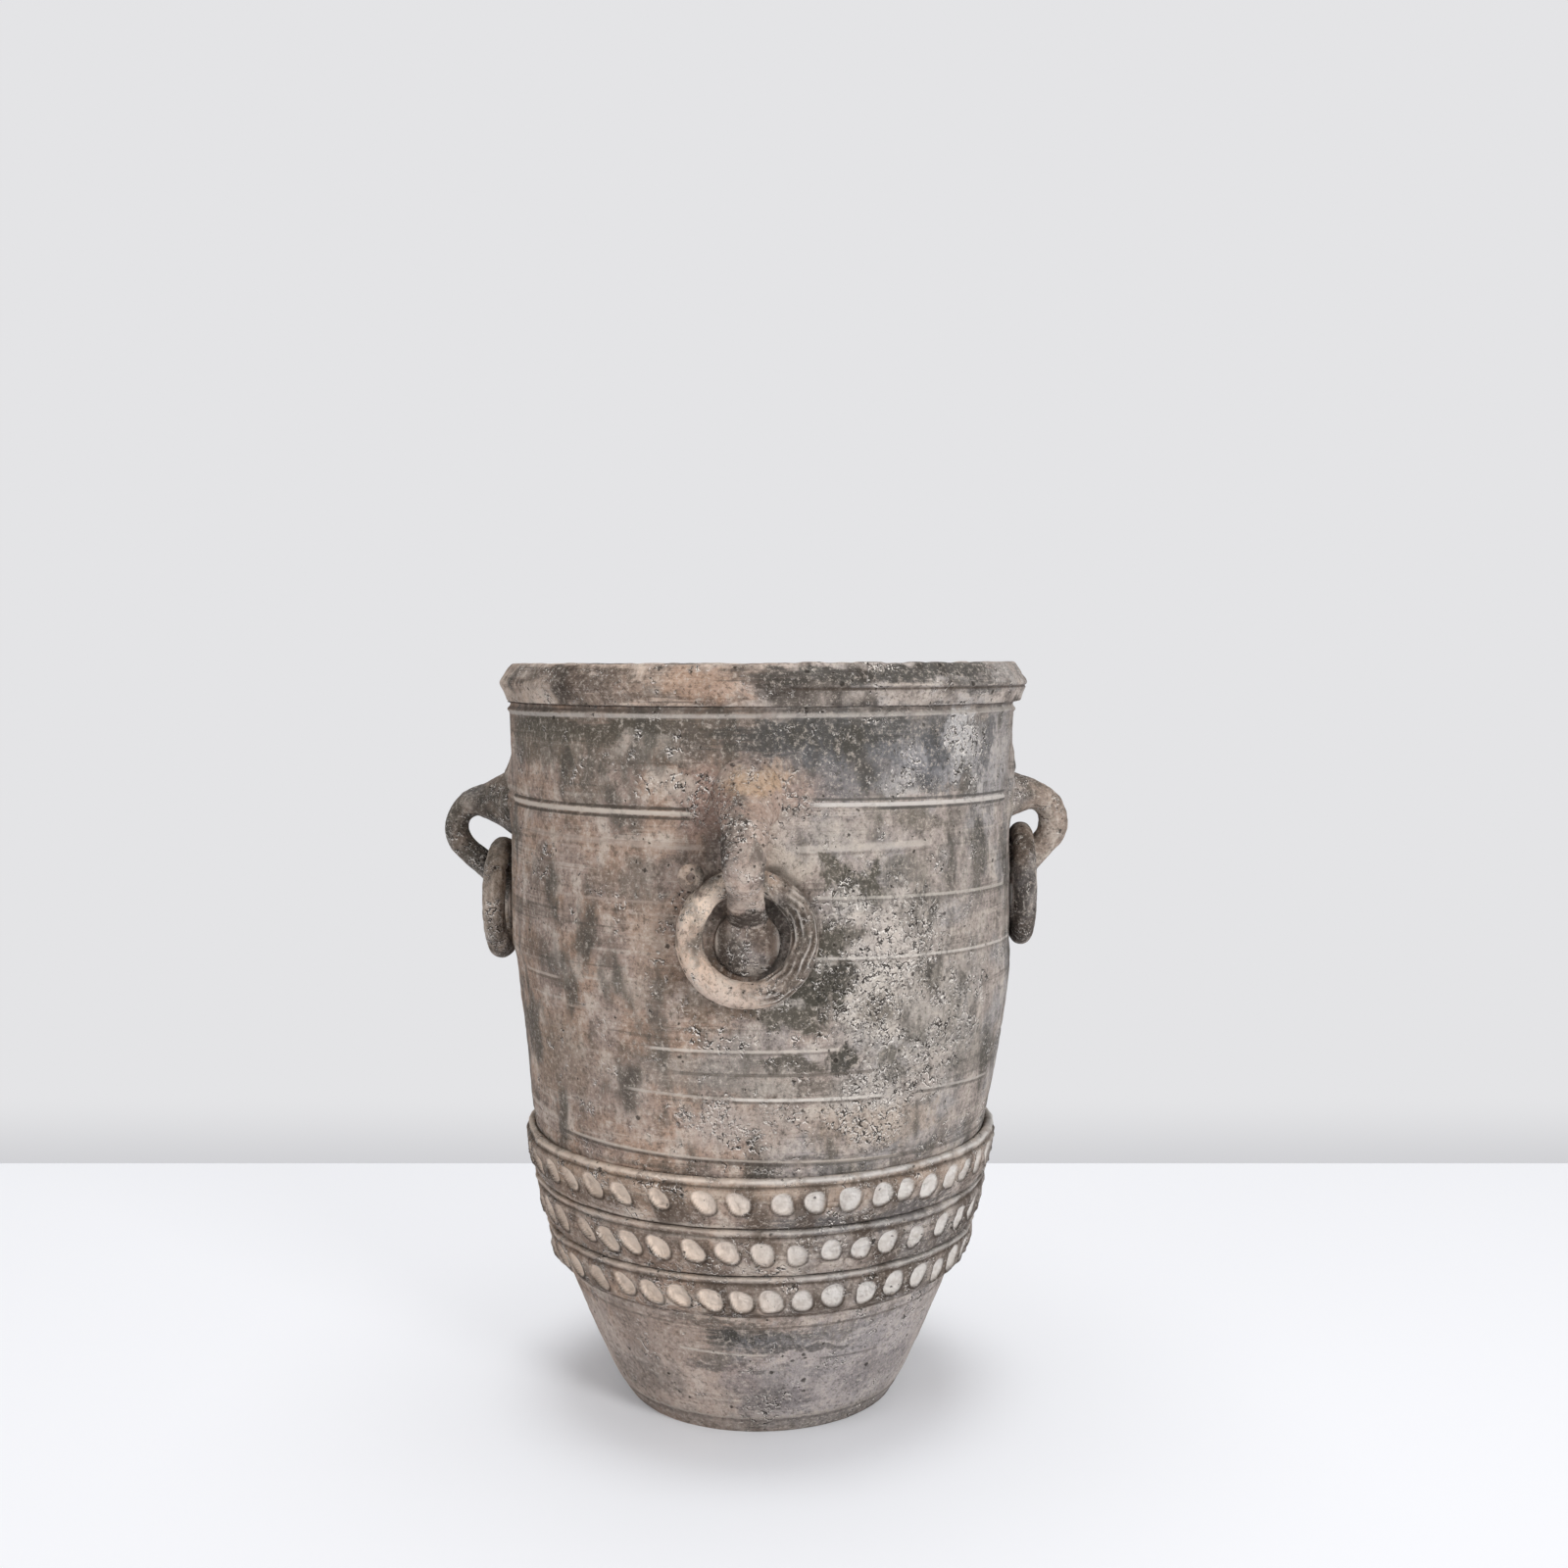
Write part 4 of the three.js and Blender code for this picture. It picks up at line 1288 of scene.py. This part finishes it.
@dataclass(frozen=True)
class BandShape:
    """One applied band and where the photograph shows its thumb presses.

    Args:
        name: of the CAD node.
        low: height of its foot.
        tall: height of the strip.
        foot, crown, lip, top: how thick it is at its foot, face, lip and top.
        row: height of the middle of its presses.
        presses: azimuths of the presses that the photograph shows, from the left.
        rib_highlight: how strongly the rib along its top is painted pale, as a highlight.
    """

    name: str
    low: float
    tall: float
    foot: float
    crown: float
    lip: float
    top: float
    row: float
    presses: tuple[float, ...]
    rib_highlight: float = 0.55


BANDS = (
    BandShape("band_lower", 96.5, 31.7, 1.6, 7.2, 6.2, 5.2, 112.2,
              (-62, -53.5, -43, -33.6, -25.7, -18, -9.7, -2.2, 5, 12.8, 20.5, 29.7, 38, 46.5, 55, 63)),
    BandShape("band_middle", 128.2, 33.4, 5.2, 7.7, 6.2, 5.2, 145.6,
              (-63, -55, -44, -36.5, -29.5, -21.8, -13.3, -5.2, 3, 10.9, 19, 26.5, 33.7, 42.3, 51.7, 60.5)),
    BandShape("band_upper", 161.6, 34.9, 5.2, 8.0, 4.8, 1.8, 180.2,
              (-63.5, -54.5, -46.8, -38.5, -30.2, -20.4, -9.8, -2.2, 7.3, 14.5, 22.5, 30.5, 36.7, 44, 51.5,
               57.6, 64.5), 1.0),
)
PRESS_HALF_WIDTH = 7.6
PRESS_HALF_HEIGHT = 8.0
PRESS_DEPTH = 3.1
# Degrees from one unseen press to the next
PRESS_PITCH = 7.9
# The power that rounds a press's outline, a little squarer than an ellipse
PRESS_POWER = 2.3
# The presses lean with the potter's thumb: azimuths, and how far each leans to the left at its top
PRESS_LEAN_AT = (-60, -15, 10, 60)
PRESS_LEAN = (0.55, 0.35, 0.1, -0.25)
# How far below a band's top the middle of its rib is, and how far below that the groove and its painted shade
# lie
RIB_DROP = 1.6
GROOVE_DROP = 3.8


@dataclass
class PressedBand(Part):
    """An applied strip of clay, pressed all round by a thumb."""

    shape: BandShape
    count: int = 232

    def all_presses(self) -> list[tuple[float, float, float, float, float]]:
        """Azimuth, height, size, lean and depth of every press, the unseen ones at an uneven pitch."""
        random = np.random.default_rng(int(self.shape.low))
        first, last = self.shape.presses[0], self.shape.presses[-1]
        room = 360 - (last - first)
        unseen = round(room / PRESS_PITCH) - 1
        azimuths = list(self.shape.presses)
        for i in range(unseen):
            azimuths.append(last + room * (i + 1) / (unseen + 1) + random.uniform(-0.7, 0.7))
        return [
            (azimuth, self.shape.row + random.uniform(-1.3, 1.3), random.uniform(0.88, 1.06),
             random.uniform(20, 60), random.uniform(0.85, 1.1))
            for azimuth in azimuths
        ]

    def press(self, azimuth: Array, height: Array) -> tuple[Array, Array, Array]:
        """Works out the presses at every point of the face.

        Args:
            azimuth: of the points.
            height: of the points.

        Returns:
            The relief, and the marks of the smooth bottom and of the painted shadow along the lip.
        """
        relief, wash, lip = (np.zeros_like(azimuth) for _ in range(3))
        radius = wall_radius(self.shape.row) + self.shape.crown
        for at, level, size, tilt, deep in self.all_presses():
            across = turn_gap(azimuth, at) * np.radians(1) * radius
            near = np.abs(across) < 2 * PRESS_HALF_HEIGHT
            u, v = across[near], height[near] - level
            turn = np.radians(tilt)
            towards = (u * np.cos(turn) + v * np.sin(turn)) / PRESS_HALF_WIDTH
            skew = u + float(np.interp(at, PRESS_LEAN_AT, PRESS_LEAN)) * v
            powers = (np.abs(skew / (PRESS_HALF_WIDTH * size)) ** PRESS_POWER
                      + np.abs(v / (PRESS_HALF_HEIGHT * size)) ** PRESS_POWER)
            far = powers ** (1 / PRESS_POWER) + 0.05 * np.sin(3 * np.arctan2(v, u) + at)
            dish = (1 - smoothstep(0.62, 1.02, far)) * (1 - 0.42 * np.clip(towards, -1, 1))
            rim = bell(far - 1.1, 0.13) * np.clip(0.25 - 0.9 * towards, 0, 1)
            relief[near] += -PRESS_DEPTH * deep * dish + 1.1 * rim
            wash[near] = np.maximum(wash[near], 1 - smoothstep(0.86, 1.0, far))
            # The lip's painted shadow is darkest below the press
            outline = np.clip(0.6 - 0.7 * v / PRESS_HALF_HEIGHT, 0.15, 1)
            lip[near] = np.maximum(lip[near], bell(far - 1.1, 0.09) * outline)
        return relief, wash, lip

    def strip(self, low: float, high: float) -> Piece:
        """Makes the plain strip from its foot to its top, set a little into the wall."""
        shape, sunk = self.shape, 1.5
        face_low, face_high = shape.row - 9, shape.row + 9
        levels = [low, low + 2, (low + face_low) / 2 + 1, face_low, shape.row - 4.5, shape.row,
                  shape.row + 4.5, face_high, (face_high + high) / 2, high - 3, high - RIB_DROP, high]
        offsets = np.interp(levels, [low, face_low, face_high, high - 3, high],
                            [shape.foot, shape.crown, shape.crown, shape.lip, shape.top])
        outline = [(wall_radius(level) + float(off), level) for level, off in zip(levels, offsets)]
        outline += [(wall_radius(level) - sunk, level) for level in (high, shape.row, low)]
        return turned(f"{shape.name}_pressed", outline, self.count, closed=True)

    def build(self, finish: ClayFinish) -> None:
        """Builds the band."""
        shape, joint = self.shape, 0.15
        low, high = shape.low + joint, shape.low + shape.tall - joint
        piece = self.strip(low, high)
        surface = Surface(piece)
        azimuth, height = surface.azimuth, surface.height
        outer = smoothstep(0.3, 1.4, surface.radius - wall_radii(height))
        relief, wash, lip = self.press(azimuth, height)
        uneven = 0.5 * Ripple(int(low), 24, 24, 0.2).at(azimuth, height)
        uneven += 0.3 * Ripple(int(high), 30, 80, 0.5).at(azimuth, height)
        below_rib = high - RIB_DROP + 0.6 * Ripple(int(low) + 1, 10, 9, 0.0).at(azimuth, height) - height
        rib, groove = bell(below_rib, 1.5), bell(below_rib - GROOVE_DROP + 0.1, 0.9)
        relief += 1.3 * rib - 1.1 * groove + uneven * (1 - wash)
        surface.set_radius(surface.radius + relief * outer)
        # The rib is marked for a painted highlight, and the groove under it for painted shade
        surface.write(wash=wash * outer, lip=lip * outer, ridge=rib * outer * shape.rib_highlight,
                      under=bell(below_rib - GROOVE_DROP, 0.9) * outer * (1 - wash))
        self.keep(piece, "pot", shape.name, self.clay(finish), finish.slot)


@dataclass(frozen=True)
class StrapForm:
    """How one strap differs from the even one.

    Args:
        bulge: how much thicker it is at its outermost, on each side.
        wide: how much wider it is at the top of the bend, on each side.
        narrow: how much narrower it is at its lower end, on each side.
        thin: how much thinner it is at its lower end, on each side.
        lift: how much higher its lower end meets the wall.
        smear: how much of the root's flare is smeared upwards only.
    """

    bulge: float = 0.0
    wide: float = 0.0
    narrow: float = 0.0
    thin: float = 0.0
    lift: float = 0.0
    smear: float = 0.0


STRAP_FORMS = {
    Side.FRONT: StrapForm(0.0, 2.4, 0.8, 2.6, 6.0, 1.0),
    Side.RIGHT: StrapForm(2.6, 0.6, 0.4, 0.0, 0.0),
    Side.BACK: StrapForm(0.6, 1.4, 0.6, 0.6, 1.0),
    Side.LEFT: StrapForm(0.5, 0.6, 0.0, -0.6, 0.0),
}
# How far both ends of a strap are sunk into the wall
STRAP_SUNK = 2.5
# Half the width and half the thickness of a tongue
TONGUE_HALF_WIDTH = 20.5
TONGUE_HALF_THICKNESS = 3.9


@dataclass(frozen=True)
class Section:
    """One cross-section of a strap, in the upright plane through the pot's axis."""

    away: float
    level: float
    facing: float
    half_thickness: float
    half_width: float


def strap_sections(side: Side) -> list[Section]:
    """The sections of a strap from its root in the wall, round the loop and back to the wall."""
    thick, wide = STRAP_THICKNESS / 2, STRAP_WIDTH / 2
    centre = side.reach - thick - LOOP_RADIUS
    root_wide = side.root * ROOT_WIDTH_RATIO / 2
    wall = wall_radius(side.height)
    burial = wall - math.sqrt(wall**2 - root_wide**2) + STRAP_SUNK
    flare_end = centre + LOOP_RADIUS * math.pi / 2
    form = STRAP_FORMS[side]
    drop = LOWER_ROOT_DROP - form.lift
    sections = []

    def add(away: float, level: float, facing: float, run: float) -> None:
        """Adds the section at a length of run along the strap."""
        swell = min(max(1 - run / flare_end, 0.0), 1.0) ** 2.5
        bent = max(run - centre, 0.0) / (LOOP_RADIUS * math.pi)
        bulge = form.bulge * math.sin(min(bent, 1.0) * math.pi) ** 2
        lower = min(max(bent - 0.45, 0.0) / 0.4, 1.0)
        wider = form.wide * math.sin(min(bent + 0.15, 1.0) * math.pi) - form.narrow * lower
        flare = (side.root / 2 - thick) * swell
        half_width = wide + (root_wide - wide) * (1 - 0.5 * form.smear) * swell + wider
        sections.append(Section(away, level + form.smear * flare, facing,
                                thick + flare + bulge - form.thin * lower, half_width))

    for i in range(7):
        away = -burial + (centre + burial) * i / 7
        add(away, side.height + LOOP_RADIUS, 0.0, away)
    slope = math.atan2(drop, centre) - math.asin(LOOP_RADIUS / math.hypot(centre, drop))
    for i in range(13):
        turn = (math.pi - slope) * i / 12
        add(centre + LOOP_RADIUS * math.sin(turn), side.height + LOOP_RADIUS * math.cos(turn), turn,
            centre + LOOP_RADIUS * turn)
    last = sections[-1]
    for i in range(1, 7):
        share = i / 6
        away = last.away + (-burial - last.away) * share
        level = last.level - (last.away - away) * math.tan(slope)
        sections.append(Section(away, level, last.facing, last.half_thickness + 2.5 * share**2,
                                last.half_width + 3 * share**2))
    return sections


def turn_to_side(piece: Piece, side: Side) -> None:
    """Turns a piece that was made pointing along +X to its side of the pot."""
    choose(piece)
    piece.rotation_euler = (0, 0, math.radians(side.azimuth - 90))
    bpy.ops.object.transform_apply(location=True, rotation=True, scale=True)


@dataclass
class Handle(Part):
    """A pulled strap of clay, smeared on to the wall at its root, and its tongue."""

    side: Side

    def strap(self) -> Piece:
        """Pulls the strap: a loop of edges extruded, turned and resized from section to section."""
        sections = strap_sections(self.side)
        wall = wall_radius(self.side.height)
        first = sections[0]
        piece = begin(f"strap_{self.side.word}", bpy.ops.mesh.primitive_circle_add, vertices=16, radius=MM)
        turn_points(math.pi / 2)
        scale_points((1, first.half_width, first.half_thickness))
        shift_points(wall + first.away, 0, first.level)
        for here, after in zip(sections, sections[1:]):
            move = ((after.away - here.away) * MM, 0, (after.level - here.level) * MM)
            bpy.ops.mesh.extrude_edges_move(TRANSFORM_OT_translate={"value": move})
            centre = ((wall + after.away) * MM, 0, after.level * MM)
            turn_points(here.facing - after.facing, centre=centre)
            thicker = after.half_thickness / here.half_thickness
            scale_points((thicker, after.half_width / here.half_width, thicker), centre)
        end_editing()
        apply_modifier(piece, "SUBSURF", levels=3)
        roughen(piece, 16, 1.6, 1)
        roughen(piece, 5, 0.814 + 0.002 * self.side.azimuth, 3)
        return piece

    def tongue(self) -> Piece:
        """Presses the tongue on to the wall below the strap, down to inside the resting ring."""
        low = self.side.ring_level - RING_RADIUS + RING_TUBE / 2 + 2
        high = self.side.height - LOWER_ROOT_DROP + 12
        middle = (low + high) / 2
        piece = begin(f"tongue_{self.side.word}", bpy.ops.mesh.primitive_uv_sphere_add, segments=32,
                      ring_count=20, radius=MM)
        scale_points((TONGUE_HALF_THICKNESS, TONGUE_HALF_WIDTH, (high - low) / 2))
        shift_points(wall_radius(middle), 0, middle)
        end_editing()
        apply_modifier(piece, "SUBSURF", levels=1)
        surface = Surface(piece)
        across = np.abs(surface.points[:, 1]) / TONGUE_HALF_WIDTH
        # Pale slip along the tongue's edges, and painted shade in a band just inside them
        surface.write(wash=0.8 * smoothstep(0.84, 0.97, across), under=0.7 * bell(across - 0.72, 0.14))
        roughen(piece, 9, 1.2)
        return piece

    def build(self, finish: ClayFinish, tongue_finish: ClayFinish) -> None:
        """Builds the handle: its strap in one finish and its tongue in the other."""
        tongue = self.tongue()
        for piece, clay in ((self.strap(), finish), (tongue, tongue_finish)):
            turn_to_side(piece, self.side)
            self.keep(piece, "pot", f"handle_{self.side.word}", self.clay(clay), clay.slot)


def coil(name: str, radius: float, tube: float, corners: tuple[int, int], middle: Place) -> Piece:
    """Adds a round coil of clay that faces along +X.

    Args:
        name: the piece's name.
        radius: of the coil's middle line.
        tube: radius of the coil itself.
        corners: round the coil and round its tube.
        middle: where its middle is.

    Returns:
        The new object.
    """
    piece = begin(name, bpy.ops.mesh.primitive_torus_add, major_segments=corners[0],
                  minor_segments=corners[1], major_radius=radius * MM, minor_radius=tube * MM)
    turn_points(math.pi / 2)
    shift_points(*middle)
    end_editing()
    return piece


# The small curl's middle line, and the radius of its tube
CURL_RADIUS = 5.6
CURL_TUBE = 3.0


@dataclass
class LooseRing(Part):
    """A coil of clay rolled by hand, joined into a ring and caught in its handle.

    Args:
        grooves: how deeply the rolling has grooved it.
        curl: where a small curl of clay stuck to it lies, across and up from its middle.
    """

    side: Side
    grooves: float = 0.3
    curl: Point | None = None

    def small_curl(self) -> Piece:
        """Rolls the small curl of clay that stuck to the ring."""
        across, up = self.curl
        middle = (self.side.ring_away + 1.0, across, self.side.ring_level + up)
        piece = coil(f"clay_curl_{self.side.word}", CURL_RADIUS, CURL_TUBE, (32, 16), middle)
        apply_modifier(piece, "SUBSURF", levels=1)
        roughen(piece, 4, 0.7)
        return piece

    def groove(self, piece: Piece) -> None:
        """Thickens the ring's lower part and grooves it lengthways, as rolling does, and marks a painted
        highlight on the crests and painted shade in the hollows.
        """
        away, level = self.side.ring_away, self.side.ring_level
        surface = Surface(piece)
        across, up = surface.points[:, 1], surface.points[:, 2] - level
        reach = np.hypot(across, up)
        lower = 1 - smoothstep(0.55, 0.85, up / reach)
        stretch = (RING_RADIUS + (reach - RING_RADIUS) * (1 + 0.09 * lower)) / reach
        surface.points[:, 1] *= stretch
        surface.points[:, 2] = level + up * stretch
        out, tube = surface.points[:, 0] - away, reach * stretch - RING_RADIUS
        round_ring, round_tube = np.arctan2(up, across), np.arctan2(out, tube)
        wander = 2.2 * np.sin(2 * round_ring + 0.7) + 1.3 * np.sin(5 * round_ring)
        wander += 0.7 * np.sin(11 * round_ring + 2)
        streaks = np.sin(11 * round_tube + wander)
        broken = 0.55 + 0.45 * np.sin(7 * round_ring + 3 * round_tube)
        grooved = self.grooves * broken * smoothstep(0.0, 0.5, across / reach) * lower
        deep = 0.065 * streaks * grooved
        surface.points[:, 0] += out * deep
        surface.points[:, 1] += across / reach * tube * deep
        surface.points[:, 2] += up / reach * tube * deep
        # Painted highlight on the crests of the grooves, painted shade in their hollows
        surface.write(ridge=0.75 * grooved * smoothstep(0.6, 0.98, streaks),
                      under=0.9 * grooved * smoothstep(0.1, -0.7, streaks))

    def build(self, finish: ClayFinish) -> None:
        """Builds the ring, and the small curl if it has one."""
        side = self.side
        piece = coil(f"clay_ring_{side.word}", RING_RADIUS, RING_TUBE / 2 - 0.1, (72, 24),
                     (side.ring_away, 0, side.ring_level))
        apply_modifier(piece, "SUBSURF", levels=2)
        self.groove(piece)
        roughen(piece, 18, 0.8, 1)
        roughen(piece, 5, 0.7, 3)
        material = self.clay(finish)
        for clay in [piece, self.small_curl()] if self.curl else [piece]:
            turn_to_side(clay, side)
            self.keep(clay, f"{side.word}_ring", f"ring_{side.word}", material, finish.slot)


# How far the floor is below the foot, and the length of ray that passes through it there
FLOOR_SUNK = 0.3
NEAR_RAY = 1.5
# The backdrop's colour, and its colour where it meets the floor
BACKDROP = (228, 228, 230)
BACKDROP_LOW = (208, 208, 211)


@dataclass
class Studio:
    """Pale floor, soft light and the camera at the photograph's place.

    Args:
        photo_size: width of the photograph in its pixels.
        focal_pixels: focal length in those pixels.
        horizon_drop: how far the horizon is above the picture's middle, in those pixels.
        azimuth: where the camera stands round the pot.
        yaw: how far it is turned.
        distance: from the pot's axis.
        height: above the floor.
        backdrop: distance of the backdrop behind the pot's axis.
    """

    photo_size: float = 1600.0
    focal_pixels: float = 1750.0
    horizon_drop: float = 128.0
    azimuth: float = 2.6
    yaw: float = 1.81
    distance: float = 1225.0
    height: float = 523.5
    backdrop: float = 525.0

    def camera(self) -> None:
        """Makes the camera."""
        data = bpy.data.cameras.new("camera")
        data.sensor_width = 36
        data.lens = data.sensor_width * self.focal_pixels / self.photo_size
        camera = bpy.data.objects.new("camera", data)
        bpy.context.scene.collection.objects.link(camera)
        round_pot = math.radians(self.azimuth)
        camera.location = (self.distance * MM * math.sin(round_pot),
                           -self.distance * MM * math.cos(round_pot), self.height * MM)
        pitch = math.atan(self.horizon_drop / self.focal_pixels)
        camera.rotation_euler = (math.pi / 2 - pitch, 0, math.radians(self.yaw))
        bpy.context.scene.camera = camera

    def dress(self, piece: Piece, name: str) -> Graph:
        """Gives a piece of the studio a new material and stages it.

        Args:
            piece: the floor or the backdrop.
            name: of the material.

        Returns:
            The material's empty node tree.
        """
        material = bpy.data.materials.new(name)
        piece.data.materials.append(material)
        return start_nodes(material)

    def floor(self) -> None:
        """Lays a pale floor, which can be looked through from below and lets light under the foot."""
        sunk, grazing = FLOOR_SUNK * MM, NEAR_RAY * MM
        bpy.ops.object.select_all(action="DESELECT")
        bpy.ops.mesh.primitive_plane_add(size=8, location=(0, 0, -sunk))
        floor = bpy.context.object
        floor.name = "floor"
        graph = self.dress(floor, "pale_floor")
        matt = graph.add("ShaderNodeBsdfDiffuse", {"Color": (0.87, 0.88, 0.915, 1)})
        glow = graph.add("ShaderNodeEmission", {"Color": (0.9, 0.905, 0.935, 1), "Strength": 1.0})
        far = graph.add("ShaderNodeVectorMath", {0: graph.object_place()}, "Value", operation="LENGTH")
        glowing = graph.ray("Is Camera Ray") * graph.step(far, 0.125, 0.215, 0.09, 0.62)
        pale = graph.blend(glowing, matt, glow)
        below = graph.add("ShaderNodeNewGeometry", output="Backfacing")
        near = graph.math("LESS_THAN", graph.ray("Ray Length"), grazing)
        clear = graph.add("ShaderNodeBsdfTransparent")
        shader = graph.blend(graph.math("MAXIMUM", below, near), pale, clear)
        graph.node("ShaderNodeOutputMaterial", {"Surface": shader})

    def wall(self) -> None:
        """Hangs the grey backdrop, a little darker where it meets the floor.

        Only the camera sees it, and only from the pot's side.
        """
        wall = begin("backdrop", bpy.ops.mesh.primitive_plane_add, size=8)
        turn_points(-math.pi / 2, "X")
        bpy.ops.transform.translate(value=(0, self.backdrop * MM, 4))
        turn_points(-math.radians(self.yaw), "Z")
        end_editing()
        graph = self.dress(wall, "grey_backdrop")
        level = graph.split(graph.object_place())[2]
        shade = graph.mix(graph.step(level, -0.015, 0.075), BACKDROP_LOW, BACKDROP)
        glow = graph.add("ShaderNodeEmission", {"Color": shade, "Strength": 1.0})
        seen = graph.ray("Is Camera Ray")
        in_front = seen * (1.0 - graph.add("ShaderNodeNewGeometry", output="Backfacing"))
        shader = graph.blend(in_front, graph.add("ShaderNodeBsdfTransparent"), glow)
        graph.node("ShaderNodeOutputMaterial", {"Surface": shader})

    def light(self, name: str, place: Place, size: float, power: float) -> None:
        """Hangs a soft square lamp that faces the pot, its place and size in metres."""
        data = bpy.data.lights.new(name, "AREA")
        data.size = size
        data.energy = power
        lamp = bpy.data.objects.new(name, data)
        lamp.location = place
        lamp.rotation_euler = (Vector((0, 0, 0.3)) - Vector(place)).to_track_quat("-Z", "Y").to_euler()
        bpy.context.scene.collection.objects.link(lamp)

    def world(self) -> None:
        """Lights everything softly and shows a plain pale backdrop to the camera."""
        world = bpy.data.worlds.new("studio")
        graph = start_nodes(world)
        seen = graph.math("MAXIMUM", graph.ray("Is Camera Ray"), graph.ray("Is Transmission Ray"))
        soft = graph.add("ShaderNodeBackground", {"Color": (1, 1, 1, 1), "Strength": 0.42})
        back = graph.add("ShaderNodeBackground", {"Color": linear(BACKDROP), "Strength": 1.0})
        graph.node("ShaderNodeOutputWorld", {"Surface": graph.blend(seen, soft, back)})
        bpy.context.scene.world = world

    def build(self) -> None:
        """Sets up the studio."""
        bpy.context.scene.view_settings.view_transform = "Standard"
        self.camera()
        self.floor()
        self.wall()
        self.world()
        self.light("key_light", (1.5, -2.0, 1.0), 0.7, 42)
        self.light("fill_light", (-1.9, -1.8, 1.35), 1.6, 15)
        self.light("top_light", (0.0, 0.2, 2.3), 1.2, 26)


def main() -> None:
    """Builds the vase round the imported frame."""
    logging.basicConfig(level=logging.INFO, format="%(message)s")
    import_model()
    Studio().build()
    effects = Effects()
    jar = Jar(effects)
    jar.build(FINISHES["wall"], FINISHES["inside"])
    collar = Collar(effects)
    collar.build(FINISHES["collar"])
    parts: list[Part] = [jar, collar]
    for shape in BANDS:
        band = PressedBand(effects, shape)
        band.build(FINISHES["bands"])
        parts.append(band)
    for side in Side:
        handle = Handle(effects, side)
        handle.build(FINISHES[side.name], replace(SHADED_TONGUE, slot=FINISHES[side.name].slot))
        front = side is Side.FRONT
        ring = LooseRing(effects, side, grooves=1.0 if front else 0.3, curl=(-34.0, 37.5) if front else None)
        ring.build(FINISHES[f"ring_{side.name}"])
        parts += [handle, ring]
    for part in parts:
        for piece in part.pieces:
            LOG.info("%s: %d faces", piece.name, len(piece.data.polygons))


if __name__ == "__main__":
    main()
